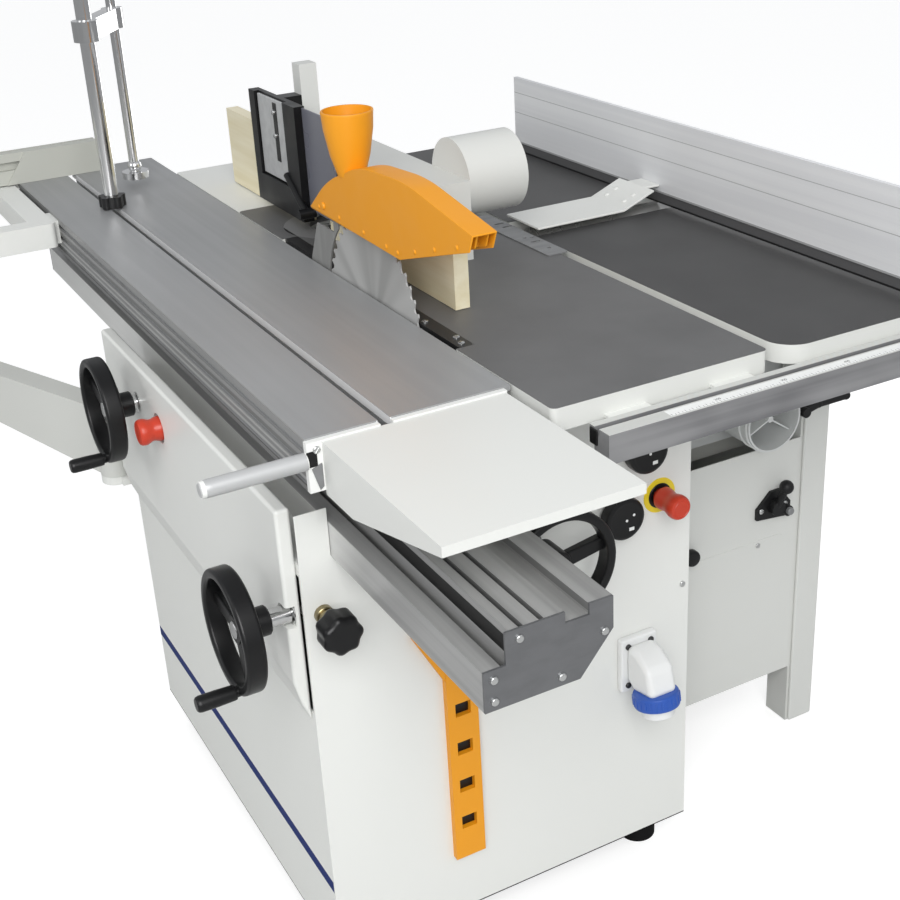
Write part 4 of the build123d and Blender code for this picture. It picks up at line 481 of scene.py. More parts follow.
def pickEdges(test):
    bpy.ops.object.mode_set(mode="EDIT")
    bpy.ops.mesh.select_mode(type="EDGE")
    bpy.ops.mesh.select_all(action="DESELECT")
    bpy.ops.object.mode_set(mode="OBJECT")
    mesh = bpy.context.object.data
    for edge in mesh.edges:
        edge.select = bool(test(*(mesh.vertices[i].co for i in edge.vertices)))
    bpy.ops.object.mode_set(mode="EDIT")


def modify(kind, **settings):
    if bpy.context.mode != "OBJECT":
        bpy.ops.object.mode_set(mode="OBJECT")
    item = bpy.context.object.modifiers.new(kind.lower(), kind)
    for key, value in settings.items():
        setattr(item, key, value)
    bpy.ops.object.modifier_apply(modifier=item.name)


def roundOff(width, segments=3, angle=30):
    modify("BEVEL", width=width * mm, segments=segments, limit_method="ANGLE", angle_limit=radians(angle))


def startBox(low, high):
    lay()
    low, high = Vector(low), Vector(high)
    bpy.ops.mesh.primitive_cube_add(size=1, location=(low + high) / 2)
    bpy.context.object.scale = high - low
    return done()


def boxAt(low, high):
    return startBox(at(*low), at(*high))


def startRod(start, end, radius, sides=32):
    lay()
    start, end = Vector(start), Vector(end)
    bpy.ops.mesh.primitive_cylinder_add(vertices=sides, radius=radius * mm, depth=(end - start).length,
                                        location=(start + end) / 2,
                                        rotation=(end - start).to_track_quat("Z", "Y").to_euler())
    return done()


def chain(points):
    lay()
    bpy.ops.mesh.primitive_plane_add(size=mm, location=points[0])
    editAll()
    bpy.ops.mesh.merge(type="CENTER")
    for here, there in zip(points, points[1:]):
        push(Vector(there) - Vector(here))
    bpy.ops.mesh.select_all(action="SELECT")


def slab(points, depth):
    chain(points)
    bpy.ops.mesh.edge_face_add()
    push(depth)
    tidyNormals()
    return done()


def settle(origin, axis):
    # from upright at zero to its place
    piece = done()
    turned = Vector((0, 0, 1)).rotation_difference(Vector(axis)).to_matrix().to_4x4()
    piece.matrix_world = Matrix.Translation(origin) @ turned
    return done()


def turn(profile, origin=(0, 0, 0), axis=(0, 0, 1), steps=48):
    # profile: radius and height in mm, round the axis
    chain([Vector((r * mm, 0, h * mm)) for r, h in profile])
    bpy.ops.mesh.spin(steps=steps, angle=2 * pi, center=(0, 0, 0), axis=(0, 0, 1))
    tidyNormals()
    return settle(origin, axis)


def joinUp(*pieces):
    lay()
    for piece in pieces:
        piece.select_set(True)
    bpy.context.view_layer.objects.active = pieces[0]
    bpy.ops.object.join()
    return bpy.context.object


def copyOf(piece, matrix):
    lay()
    piece.select_set(True)
    bpy.context.view_layer.objects.active = piece
    bpy.ops.object.duplicate(linked=False)
    bpy.context.object.matrix_world = matrix
    return done()


def drop(piece):
    bpy.data.objects.remove(piece, do_unlink=True)


def keep(name, body, finish, replaced=(), smooth=35):
    piece = done()
    bpy.ops.object.shade_smooth_by_angle(angle=radians(smooth))
    modify("WEIGHTED_NORMAL", keep_sharp=True)
    piece.name = name
    piece.data.name = name
    piece.data.materials.clear()
    piece.data.materials.append(finishes[finish])
    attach(piece, body)
    if replaced:
        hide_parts(*replaced)
    return piece


def roundBox(r0, r1, h0, h1, corner, steps=4):
    # closed profile with rounded corners for turn()
    spots = [(r1 - corner, h0 + corner, -90), (r1 - corner, h1 - corner, 0),
             (r0 + corner, h1 - corner, 90), (r0 + corner, h0 + corner, 180)]
    path = []
    for r, h, begin in spots:
        for i in range(steps + 1):
            a = radians(begin + 90 * i / steps)
            path.append((r + corner * cos(a), h + corner * sin(a)))
    return path + path[:1]


# handwheels: one model, three copies
wheel = {"rim": (67, 80), "depth": 26, "corner": 4.5, "dish": 8, "spokes": 3, "spoke": 22, "spokeEnd": 18,
         "spokeFlare": 1.35, "spokeReach": (10, 70), "spokeRound": 2.5, "thick": 11,
         "shaft": 8, "sleeve": 12, "sleeveFrom": -40, "sleeveGap": 4, "inside": 28,
         "centre": [(0, -3), (6, -3), (7.5, -1), (16, 0), (18.2, -0.8), (19, -3), (19, -42), (17, -44), (0, -44)],
         "grip": [(0, 8), (7, 8), (7, 15), (9.4, 16), (9.8, 19), (10.5, 40), (10.5, 60), (9.8, 63.5), (8, 65.4),
                  (0, 66)],
         "cap": [(0, -1.6), (11.4, -1.6), (11.4, 0.3), (10.6, 1), (0, 1.2)],
         "flange": [(8.6, 0.3), (8.6, 2.6), (15, 2.6), (16, 1.8), (16, 0.3), (8.6, 0.3)]}
wheelSpots = [
    ("frontWheel", "front_handwheel", at(53, -395, 609), ((1, 0, 0), (0, 0, 1), (0, -1, 0)), 250, 70),
    ("lowWheel", "low_handwheel", at(-353, -303, 607), ((0, -1, 0), (0, 0, 1), (-1, 0, 0)), -70, 75),
    ("highWheel", "high_handwheel", at(-343, 252, 691), ((0, -1, 0), (0, 0, 1), (-1, 0, 0)), -80, 53),
]


def modelWheel():
    rim = turn(roundBox(*wheel["rim"], -wheel["depth"] / 2, wheel["depth"] / 2, wheel["corner"]), steps=72)
    centre = turn(wheel["centre"])
    half = wheel["spoke"] / 2 * mm
    low = -(wheel["dish"] + wheel["thick"] / 2) * mm
    near, far = wheel["spokeReach"]
    spokes = []
    for i in range(wheel["spokes"]):
        piece = startBox((near * mm, -half, low), (far * mm, half, low + wheel["thick"] * mm))
        pickFaces(lambda c, n: n.x > 0.9)
        bpy.ops.transform.resize(value=(1, wheel["spokeEnd"] / wheel["spoke"], wheel["spokeFlare"]))
        roundOff(wheel["spokeRound"], 3)
        piece.matrix_world = Matrix.Rotation(radians(360 / wheel["spokes"] * i), 4, "Z")
        spokes.append(done())
    arm = (wheel["rim"][0] + wheel["rim"][1]) / 2
    grip = turn(wheel["grip"], Vector((arm * mm, 0, 0)))
    return joinUp(rim, centre, *spokes, grip)


pattern = modelWheel()
for name, node, spot, dirs, grip, standoff in wheelSpots:
    stand = Matrix.Translation(spot) @ Matrix(dirs).transposed().to_4x4()
    copyOf(pattern, stand @ Matrix.Rotation(radians(grip), 4, "Z"))
    keep(name, node, "blackPlastic", [node])
    start, neck, end = wheel["sleeveFrom"], wheel["sleeveGap"] - standoff, -standoff - wheel["inside"]
    thin, wide = wheel["shaft"], wheel["sleeve"]
    turn([(0, start), (wide, start), (wide, neck), (thin, neck), (thin, end), (0, end)])
    bpy.context.object.matrix_world = stand
    keep(name + "Shaft", node, "chrome")
    turn(wheel["cap"])
    bpy.context.object.matrix_world = stand
    keep(name + "Cap", node, "brightScrew")
    turn(wheel["flange"])
    bpy.context.object.matrix_world = stand @ Matrix.Translation((0, 0, -standoff * mm))
    keep(name + "Flange", "base", "brightScrew")
drop(pattern)
print("handwheels modelled")

# saw guard: moulded shell, open below, with a mouth at the nose
guard = {"outline": [(165, 966), (-128, 960), (-277, 1006), (-320, 1019), (-330, 1042), (-154, 1070), (-20, 1062),
                     (96, 1018)],
         "middle": 1.5, "width": 34, "wall": 2.4, "crown": 34.0, "crownAbove": 1010, "crownBehind": -200, "edge": 2.2,
         "mouth": -313, "ribs": (-6.5, 8.5), "ribThick": 2,
         "rib": [(-300, 1017), (-317, 1022), (-325, 1040), (-300, 1043)],
         "backLeft": -13, "backWide": 29, "back": [(-292, 1015), (-296, 1016), (-296, 1043), (-292, 1043)],
         "spoutY": 42, "spout": [(17, 1036), (19.5, 1036), (28, 1064), (34.5, 1100), (36, 1121), (36.6, 1123),
                                 (36, 1125), (33, 1125), (31.5, 1100), (25, 1064), (17, 1036)],
         "rivet": [(3.4, -0.3), (3.4, 0.4), (2.6, 1.1), (1.3, 1.5), (0, 1.6)],
         "rivets": [(130, 973), (60, 973), (-20, 971), (-90, 969), (-124, 969), (-175, 983), (-230, 1000),
                    (-290, 1018)],
         "bolt": [(5.4, -0.3), (5.4, 1.2), (4.6, 2.4), (2.6, 3), (0, 3.2)], "pivot": (114, 978)}


def modelGuard():
    half = guard["width"] / 2
    side = guard["middle"] - half
    shell = slab([at(side, y, z) for y, z in guard["outline"]], (guard["width"] * mm, 0, 0))
    level, nose = at(0, 0, guard["crownAbove"]).z, at(0, guard["crownBehind"], 0).y
    pickEdges(lambda a, b: abs(a.y - b.y) < hair and abs(a.z - b.z) < hair and a.z > level and a.y > nose)
    bpy.ops.mesh.bevel(offset=guard["crown"] * mm, segments=7, affect="EDGES")
    mouth = at(0, guard["mouth"], 0).y
    pickFaces(lambda c, n: (n.z < -0.6 and abs(n.x) < 0.3) or (c.y < mouth and n.y < -0.4 and abs(n.x) < 0.3))
    bpy.ops.mesh.delete(type="FACE")
    modify("SOLIDIFY", thickness=guard["wall"] * mm, offset=-1.0, use_even_offset=True)
    roundOff(guard["edge"] / 2, 2, 40)
    extras = []
    for x in guard["ribs"]:  # in the mouth, with a wall behind them
        extras.append(slab([at(x, y, z) for y, z in guard["rib"]], (guard["ribThick"] * mm, 0, 0)))
    extras.append(slab([at(guard["backLeft"], y, z) for y, z in guard["back"]], (guard["backWide"] * mm, 0, 0)))
    for y, z in guard["rivets"]:
        for edge, out in ((side, -1), (side + guard["width"], 1)):
            extras.append(turn(guard["rivet"], at(edge, y, z), (out, 0, 0), 16))
    extras.append(turn(guard["spout"], at(guard["middle"], guard["spoutY"], 0)))
    return joinUp(shell, *extras)


modelGuard()
keep("guardShell", "blade_guard", "guardOrange", ["blade_guard"])
for out in (-1, 1):  # pivot bolt through the knife
    turn(guard["bolt"], at(guard["middle"] + out * guard["width"] / 2, *guard["pivot"]), (out, 0, 0), 24)
    keep("guardBolt" + ("Left" if out < 0 else "Right"), "blade_guard", "guardOrange")
print("saw guard modelled")


def focus(piece):
    lay()
    piece.select_set(True)
    bpy.context.view_layer.objects.active = piece


def carve(piece, *cutters):
    tool = joinUp(*cutters)
    focus(piece)
    modify("BOOLEAN", object=tool, operation="DIFFERENCE", solver="EXACT")
    drop(tool)


def oval(x, y, low, high, length, width):
    # upright slot tool, long way along x
    piece = startBox(at(x - length / 2, y - width / 2, low), at(x + length / 2, y + width / 2, high))
    pickEdges(lambda a, b: abs(a.z - b.z) > hair)
    bpy.ops.mesh.bevel(offset=width * 0.49 * mm, segments=5, affect="EDGES")
    done()
    return piece


# pressed cover on the left: drawn-in foot, holes for the wheels and the stop button
cover = {"section": [(-270.2, 447), (-282, 478), (-290, 512), (-290, 755), (-270.2, 755)],
         "front": -317, "length": 741, "round": 5, "outside": -300, "notch": ((-300, -330, 592), (-277.9, -303, 622)),
         "corner": ((-269.6, -325, 679.5), (-227.6, -323, 746)), "cornerEdge": 0.6,
         "holes": [(-303, 607, 15, -277.9), (252, 691, 9, -260), (151, 685, 23, -260)]}


def modelCover():
    shell = slab([at(x, cover["front"], z) for x, z in cover["section"]], (0, cover["length"] * mm, 0))
    roundOff(cover["round"], 9, 18)
    tools = [startRod(at(cover["outside"], y, z), at(inner, y, z), radius, 40)
             for y, z, radius, inner in cover["holes"]]
    tools.append(boxAt(*cover["notch"]))
    for tool in tools:
        carve(shell, tool)
    return shell


modelCover()
keep("upperCover", "base", "whitePaint", ["left_upper_cover"], 12)
boxAt(*cover["corner"])
roundOff(cover["cornerEdge"], 2)
keep("panelCorner", "base", "whitePaint")

# saw blade: raked teeth with deep gullets
blade = {"middle": (1.5, 0, 828), "thick": 2.2, "teeth": 48, "bore": 11.8, "past": 5,
         "tooth": [(0.0, 143.6), (0.06, 149.9), (0.3, 149.2), (0.44, 145.4), (0.66, 142.2), (0.9, 141.6)]}


def modelBlade():
    spots = []
    x, y, z = blade["middle"]
    for i in range(blade["teeth"]):
        for share, radius in blade["tooth"]:
            a = 2 * pi * (i + share) / blade["teeth"]
            spots.append(at(x - blade["thick"] / 2, y + radius * cos(a), z + radius * sin(a)))
    disc = slab(spots, (blade["thick"] * mm, 0, 0))
    carve(disc, startRod(at(x - blade["past"], y, z), at(x + blade["past"], y, z), blade["bore"], 40))
    return disc


modelBlade()
keep("bladeDisc", "saw_blade", "bladeSteel", ["saw_blade"], 20)

# stop buttons: mushroom heads, yellow disc behind the front one
stop = {"front": (259, -325, 620), "side": (-278, 151, 685),
        "button": [(0, -7), (11, -7), (11, 9.2), (15.4, 9.2), (16.4, 10.2), (16.2, 17), (14.8, 24), (14.8, 29),
                   (16.2, 34), (17.4, 39), (17.6, 43), (17, 47), (15.4, 49.6), (13, 50.4), (12.4, 49.8), (11.4, 49.8),
                   (10.8, 50.4), (0, 50.4)],
        "mushroom": [(0, -7), (11, -7), (11, 8.6), (17.6, 8.6), (18.6, 10), (18, 16), (16.4, 21), (16.4, 25), (18, 29),
                     (19.6, 33), (19.8, 37), (19, 41), (17, 43.4), (13.6, 44), (13, 43.4), (12, 43.4), (11.4, 44),
                     (0, 44)],
        "disc": [(12, 0.1), (12, 1.2), (25.4, 1.2), (26, 0.6), (26, 0.1), (12, 0.1)],
        "nut": [(11.8, 1.0), (11.8, 2.6), (17.4, 2.6), (18.4, 1.8), (18.4, 1.0), (11.8, 1.0)],
        "collar": [(11.8, 0.2), (11.8, 2.2), (22.2, 2.2), (22.8, 1.2), (22.8, 0.2), (11.8, 0.2)]}
turn(stop["button"], at(*stop["front"]), (0, -1, 0))
keep("frontStopButton", "front_stop", "stopRed", ["front_stop"])
turn(stop["disc"], at(*stop["front"]), (0, -1, 0))
keep("frontStopDisc", "base", "stopYellow")
turn(stop["nut"], at(*stop["front"]), (0, -1, 0))
keep("frontStopNut", "base", "blackPlastic")
turn(stop["mushroom"], at(*stop["side"]), (-1, 0, 0))
keep("sideStopButton", "side_stop", "stopRed", ["side_stop"])
turn(stop["collar"], at(*stop["side"]), (-1, 0, 0))
keep("sideStopCollar", "base", "blackPlastic")

# selector knobs: dished disc with two white dots and a blank tag
selector = {"disc": [(0, -8), (5, -8), (5, 6), (29, 6), (31, 8), (31, 20), (30, 22.6), (27.6, 24), (24, 24),
                     (22.4, 23.2), (0, 23)],
            "face": 23.0, "dots": [(1.5, -1.8), (13, 4)], "dot": [(0, 0.8), (1.4, 0.8), (2, 0.4), (2, -0.4), (0, -0.4)],
            "tag": (9.3, -16, 8, 5), "tagHeight": (-0.3, 0.6), "tagEdge": 0.25,
            "low": (188, -325, 613), "high": (226, -325, 702)}
frontFace = Matrix(((1, 0, 0), (0, 0, 1), (0, -1, 0))).transposed().to_4x4()


def modelMarks():
    face, (sunk, proud) = selector["face"], selector["tagHeight"]
    x, y, wide, tall = selector["tag"]
    tag = startBox(Vector((x - wide / 2, y - tall / 2, face + sunk)) * mm,
                   Vector((x + wide / 2, y + tall / 2, face + proud)) * mm)
    roundOff(selector["tagEdge"], 2)
    dots = [turn(selector["dot"], Vector((u, v, face)) * mm, steps=16) for u, v in selector["dots"]]
    return joinUp(tag, *dots)


knobModel, markModel = turn(selector["disc"]), modelMarks()
for name in ("low", "high"):
    place = Matrix.Translation(at(*selector[name])) @ frontFace
    copyOf(knobModel, place)
    keep(name + "Selector", name + "_knob", "blackPlastic", [name + "_knob"])
    copyOf(markModel, place)
    keep(name + "SelectorMarks", name + "_knob", "tapeWhite")
drop(knobModel)
drop(markModel)

# locking knob: soft lobes on a stem, with its brass bush
lock = {"spot": (-245, -325, 605), "lobes": 7, "points": 60, "radius": 25.6, "swell": 1.5, "bottom": 30, "top": 65.5,
        "round": 8,
        "stem": [(0, -8), (5.4, -8), (5.4, 32), (0, 32)],
        "bush": [(5.8, 0.3), (5.8, 26), (9, 26), (10, 25), (10, 9), (11.4, 9), (12.4, 8), (12.4, 0.3), (5.8, 0.3)]}


def modelLock():
    path = []
    for i in range(lock["points"]):
        a = 2 * pi * i / lock["points"]
        r = lock["radius"] + lock["swell"] * cos(lock["lobes"] * a)
        path.append(Vector((r * cos(a), r * sin(a), lock["bottom"])) * mm)
    cap = slab(path, (0, 0, (lock["top"] - lock["bottom"]) * mm))
    roundOff(lock["round"], 5, 50)
    joinUp(cap, turn(lock["stem"]))
    return settle(at(*lock["spot"]), (0, -1, 0))


modelLock()
keep("lockKnobGrip", "lock_knob", "blackPlastic", ["lock_knob"])
turn(lock["bush"], at(*lock["spot"]), (0, -1, 0))
keep("lockKnobBush", "base", "brass")
print("buttons and knobs modelled")

# power inlet: moulded elbow, blue ribbed collar, sleeve with pins
inlet = {"plate": ((188, -337, 325), (249, -325, 412)), "plateEdge": 3, "left": 195.5, "width": 46, "round": 9,
         "side": [(-336, 404), (-362, 402), (-388, 386), (-399.3, 345.9), (-354.3, 336.3), (-336, 348)],
         "neck": (218.5, -376.8, 341.1), "down": (0, -sin(radians(12)), -cos(radians(12))),
         "collar": [(20.6, -3), (29, -3), (32.4, -1), (33.4, 2), (33.4, 15), (32.4, 18.5), (29, 20), (20.6, 20),
                    (20.6, -3)],
         "rib": (32.6, 34.4, 2, 15), "ribHalf": 1.6, "ribEdge": 0.9, "ribs": 26,
         "sleeve": [(16.4, 6), (16.4, 35), (21, 35), (23, 33.4), (24.4, 20.3), (20.4, 20.3), (20.4, 6), (16.4, 6)],
         "pin": [(0, 4), (2.4, 4), (2.4, 26), (1.6, 28), (0, 28.4)], "pins": (90, 210, 330), "pinCircle": 9.5}


def modelInlet():
    plate = boxAt(*inlet["plate"])
    roundOff(inlet["plateEdge"], 3)
    body = slab([at(inlet["left"], y, z) for y, z in inlet["side"]], (inlet["width"] * mm, 0, 0))
    roundOff(inlet["round"], 5)
    return joinUp(plate, body)


def modelCollar():
    ring = turn(inlet["collar"], steps=66)
    near, far, low, high = inlet["rib"]
    half = inlet["ribHalf"] * mm
    ribs = []
    for i in range(inlet["ribs"]):
        rib = startBox((near * mm, -half, low * mm), (far * mm, half, high * mm))
        roundOff(inlet["ribEdge"], 2)
        rib.matrix_world = Matrix.Rotation(2 * pi * i / inlet["ribs"], 4, "Z")
        ribs.append(done())
    joinUp(ring, *ribs)
    return settle(at(*inlet["neck"]), inlet["down"])


modelInlet()
keep("inletHousing", "base", "socketWhite", ["power_inlet"])
modelCollar()
keep("inletCollar", "base", "socketBlue")
turn(inlet["sleeve"], at(*inlet["neck"]), inlet["down"])
keep("inletSleeve", "base", "socketWhite")
pinCircle = inlet["pinCircle"] * mm
joinUp(*[turn(inlet["pin"], (pinCircle * cos(radians(a)), pinCircle * sin(radians(a)), 0), steps=16)
         for a in inlet["pins"]])
settle(at(*inlet["neck"]), inlet["down"])
keep("inletPins", "base", "brass")
print("power inlet modelled")

# grey perforated strip along the saw table's right edge
strip = {"low": (291.5, 2, 870.15), "high": (327, 246, 871.7), "slots": [(315, 189), (317, 167.5), (313, 74)],
         "slot": (17, 6), "holes": [(308.5, 98.7), (319.5, 95.2), (312.5, 33.6)], "hole": 3.2, "corner": 5,
         "cut": (868, 874)}
plate = boxAt(strip["low"], strip["high"])
pickEdges(lambda a, b: abs(a.z - b.z) > hair)
bpy.ops.mesh.bevel(offset=strip["corner"] * mm, segments=4, affect="EDGES")
done()
under, over = strip["cut"]
tools = [oval(x, y, under, over, *strip["slot"]) for x, y in strip["slots"]]
tools += [startRod(at(x, y, under), at(x, y, over), strip["hole"], 20) for x, y in strip["holes"]]
carve(plate, *tools)
keep("edgeStrip", "base", "stripGrey")

# rail tape with plain numbers, read from the front
tape = {"low": (128, -526, 848.02), "high": (777, -511, 848.3), "first": 130, "step": 5, "fine": 130, "half": 0.22,
        "tickHeight": (848.28, 848.36), "ticks": ((1, 3.0), (2, 5.0)), "numbers": range(200, 800, 100), "size": 6.0,
        "line": (-520, 848.3), "ink": 0.04, "edge": 0.1, "plug": ((37.4, -506, 826), (40.2, -491, 846)),
        "plugEdge": 2.5}
boxAt(tape["low"], tape["high"])
roundOff(tape["edge"], 1)
keep("railTape", "base", "tapeWhite")
ticks = []
edge, (bottom, top) = tape["low"][1], tape["tickHeight"]
for every, length in tape["ticks"]:
    startBox(at(tape["first"] - tape["half"], edge, bottom), at(tape["first"] + tape["half"], edge + length, top))
    modify("ARRAY", count=tape["fine"] // every, use_relative_offset=False, use_constant_offset=True,
           constant_offset_displace=(tape["step"] * every * mm, 0, 0))
    ticks.append(bpy.context.object)
for number in tape["numbers"]:
    lay()
    bpy.ops.object.text_add(location=at(number, *tape["line"]))
    words = bpy.context.object
    words.data.body = str(number)
    words.data.size = tape["size"] * mm
    words.data.align_x = "CENTER"
    words.data.extrude = tape["ink"] * mm
    bpy.ops.object.convert(target="MESH")
    ticks.append(done())
joinUp(*ticks)
keep("railMarks", "base", "tickInk")
boxAt(*tape["plug"])
roundOff(tape["plugEdge"], 3)
keep("railPlug", "base", "blackPlastic")
print("strip and rail dressed")


# one slotted screw, set where the photo shows them
screw = {"head": [(0, -0.6), (4.6, -0.6), (4.6, 1.4), (3.9, 2.2), (2.4, 2.7), (0, 2.9)],
         "groove": ((-6, -0.6, 1.7), (6, 0.6, 4))}


def modelScrew():
    head = turn(screw["head"], steps=28)
    groove = startBox(*(Vector(corner) * mm for corner in screw["groove"]))
    carve(head, groove)
    return head


screwSpots = [
    ("slideScrewHigh", "slide", (-258, -392, 858), (0, -1, 0), 50),
    ("slideScrewLow", "slide", (-240, -392, 842), (0, -1, 0), 20),
    ("insertScrewFront", "base", (14.3, -232, 870), (0, 0, 1), 30),
    ("insertScrewNear", "base", (19, -210, 870), (0, 0, 1), 80),
    ("insertScrewFar", "base", (12.5, -135, 870), (0, 0, 1), 10),
    ("bracketScrewLeft", "base", (562, -185, 440), (0, -1, 0), 35),
    ("bracketScrewRight", "base", (610, -185, 441), (0, -1, 0), 70),
]
screwModel = modelScrew()
for name, body, spot, axis, spin in screwSpots:
    lean = Vector((0, 0, 1)).rotation_difference(Vector(axis)).to_matrix().to_4x4()
    copyOf(screwModel, Matrix.Translation(at(*spot)) @ lean @ Matrix.Rotation(radians(spin), 4, "Z"))
    keep(name, body, "brightScrew")
drop(screwModel)

# slide end: push handle sleeve, dark notch and latch plate
slideEnd = {"handle": [(0, 0), (10.4, 0), (10.4, 110), (10.2, 117), (9.2, 122), (7.6, 124), (5, 124.4), (0, 124.5)],
            "handleSpot": (-271, -388, 845), "notch": ((-270.3, -393, 838), (-258, -391, 857)), "face": -392.1,
            "notchEdge": 0.6, "latch": [(-266, 836), (-253, 841), (-253, 812), (-258, 808)], "latchDeep": 1.6,
            "latchEdge": 0.5}
turn(slideEnd["handle"], at(*slideEnd["handleSpot"]), (-1, 0, 0))
keep("slideHandleBar", "slide", "handleAlu")
boxAt(*slideEnd["notch"])
roundOff(slideEnd["notchEdge"], 2)
keep("slideNotch", "slide", "blackPlastic")
slab([at(x, slideEnd["face"], z) for x, z in slideEnd["latch"]], (0, -slideEnd["latchDeep"] * mm, 0))
roundOff(slideEnd["latchEdge"], 2)
keep("slideLatch", "slide", "stripGrey")

# chip outlet: two hose ridges and three webs across the mouth
outlet = {"spot": (545, -226, 618), "ridges": (4, 20),
          "ridge": [(49.6, 0), (51.2, 0.5), (52, 2), (51.2, 3.5), (49.6, 4), (49.6, 0)],
          "webs": (35, 155, 275), "web": (3, 46.6, 1.4, 10, 34), "webEdge": 0.8,
          "hub": [(0, 9), (5, 9), (5.6, 10), (5.6, 34), (0, 34)]}
x, y, z = outlet["spot"]
joinUp(*[turn(outlet["ridge"], at(x, y + inward, z), (0, 1, 0), 64) for inward in outlet["ridges"]])
keep("outletRidges", "base", "hoodGrey")
near, far, thin, front, back = outlet["web"]
webs = [turn(outlet["hub"], steps=20)]
for angle in outlet["webs"]:
    web = startBox((near * mm, -thin * mm, front * mm), (far * mm, thin * mm, back * mm))
    roundOff(outlet["webEdge"], 2)
    web.matrix_world = Matrix.Rotation(radians(angle), 4, "Z")
    webs.append(done())
joinUp(*webs)
settle(at(*outlet["spot"]), (0, 1, 0))
keep("outletWebs", "base", "hoodGrey")

# cutter guard: slotted plate with bolts, smoked screen
shield = {"plate": ((48, 397, 937), (52.4, 512, 1069)), "slot": ((47.3, 430, 968), (48.3, 446, 1064)),
          "bolts": [(441, 1010), (441, 1048)], "boltFace": 47.4, "bolt": [(0, 4), (3.4, 3.6), (4.6, 2.6), (5, 0)],
          "screen": ((57, 232, 906), (60, 346, 1070)), "edge": 1.2, "slotEdge": 0.4}
boxAt(*shield["plate"])
roundOff(shield["edge"], 3)
keep("shieldPlate", "cutter_guard", "handleAlu")
boxAt(*shield["slot"])
roundOff(shield["slotEdge"], 2)
keep("shieldSlot", "cutter_guard", "blackPlastic")
joinUp(*[turn(shield["bolt"], at(shield["boltFace"], y, z), (-1, 0, 0), 24) for y, z in shield["bolts"]])
keep("shieldBolts", "cutter_guard", "brightScrew")
boxAt(*shield["screen"])
roundOff(shield["edge"], 3)
keep("shieldScreen", "cutter_guard", "smokedScreen")

# small fixed knob on the planer, lamp on the switch panel, plunger of the lever bracket
small = {"knobSpot": (419, -179, 405), "lampSpot": (141, -325, 638), "plungerSpot": (609, -197, 433.6),
         "knob": [(0, 0.2), (8, 0.2), (8, 7), (12.4, 8), (13.5, 10), (13.5, 18), (12.4, 20.4), (9, 21.6), (0, 22)],
         "lamp": [(0, 2.4), (2.6, 2), (4, 0.8), (4.4, 0.1), (4.4, -0.4), (0, -0.4)],
         "plunger": [(0, 0), (6.4, 0), (6.4, 5), (5.4, 6.4), (0, 6.6)]}
turn(small["knob"], at(*small["knobSpot"]), (0, -1, 0))
keep("planerKnob", "base", "blackPlastic")
turn(small["lamp"], at(*small["lampSpot"]), (0, -1, 0), 20)
keep("panelLamp", "base", "lampGreen")
turn(small["plunger"], at(*small["plungerSpot"]), (0, -1, 0), 24)
keep("bracketPlunger", "base", "stripGrey")

# bridge guard: folded sheet with a tongue, four rivets
bridge = {"path": [(337, 877), (500, 877), (556, 899), (585.5, 899)], "thick": 4, "front": 104, "depth": 98,
          "tongue": 558, "trim": 24, "past": 5, "cutEnd": 600, "cut": (860, 920), "edge": 1.2,
          "rivet": [(4.4, -0.6), (4.4, 0.6), (3.2, 1.5), (0, 1.9)],
          "rivets": [(516, 128, 887.4), (534, 128, 894.4), (516, 178, 887.4), (534, 178, 894.4)]}


def modelBridge():
    lower = [at(x, bridge["front"], z) for x, z in bridge["path"]]
    upper = [at(x, bridge["front"], z + bridge["thick"]) for x, z in reversed(bridge["path"])]
    sheet = slab(lower + upper, (0, bridge["depth"] * mm, 0))
    front, back = bridge["front"], bridge["front"] + bridge["depth"]
    trim, past, (under, over) = bridge["trim"], bridge["past"], bridge["cut"]
    cuts = [startBox(at(bridge["tongue"], y0, under), at(bridge["cutEnd"], y1, over))
            for y0, y1 in ((front - past, front + trim), (back - trim, back + past))]
    carve(sheet, *cuts)
    roundOff(bridge["edge"], 2)
    (x0, z0), (x1, z1) = bridge["path"][1:3]
    slope = Vector((z0 - z1, 0, x1 - x0)).normalized()
    heads = [turn(bridge["rivet"], at(*spot), slope, 20) for spot in bridge["rivets"]]
    return joinUp(sheet, *heads)


modelBridge()
keep("bridgeSheet", "bridge_guard", "whitePaint", ["bridge_guard"])

# planer door and column, switch panel lip, dark backing and slanted end of the tool holder
sheets = {"door": ((350, -180, 182), (616, -178.8, 384)), "doorCorner": 14, "edge": 0.5,
          "column": ((645, -185, 0.5), (693.8, -178.8, 833.5)), "columnEdge": 4,
          "lip": ((62, -326.2, 643), (243, -324.8, 645.6)), "backing": ((-86, -327.4, 154), (-46, -325.2, 522)),
          "wing": [(-89, 448), (-131, 528), (-124, 540), (-89, 526)], "wall": -325, "wingDeep": 10, "wingEdge": 1}
boxAt(*sheets["door"])
pickEdges(lambda a, b: abs(a.y - b.y) > hair)
bpy.ops.mesh.bevel(offset=sheets["doorCorner"] * mm, segments=5, affect="EDGES")
roundOff(sheets["edge"], 2)
keep("planerDoor", "base", "planerWhite")
boxAt(*sheets["column"])
roundOff(sheets["columnEdge"], 4)
keep("planerColumn", "base", "planerWhite")
boxAt(*sheets["lip"])
roundOff(sheets["edge"], 2)
keep("switchLip", "base", "whitePaint")
boxAt(*sheets["backing"])
roundOff(sheets["edge"], 2)
keep("holderBacking", "base", "blackPlastic")
slab([at(x, sheets["wall"], z) for x, z in sheets["wing"]], (0, -sheets["wingDeep"] * mm, 0))
roundOff(sheets["wingEdge"], 2)
keep("holderWing", "base", "guardOrange")
print("small fittings modelled")

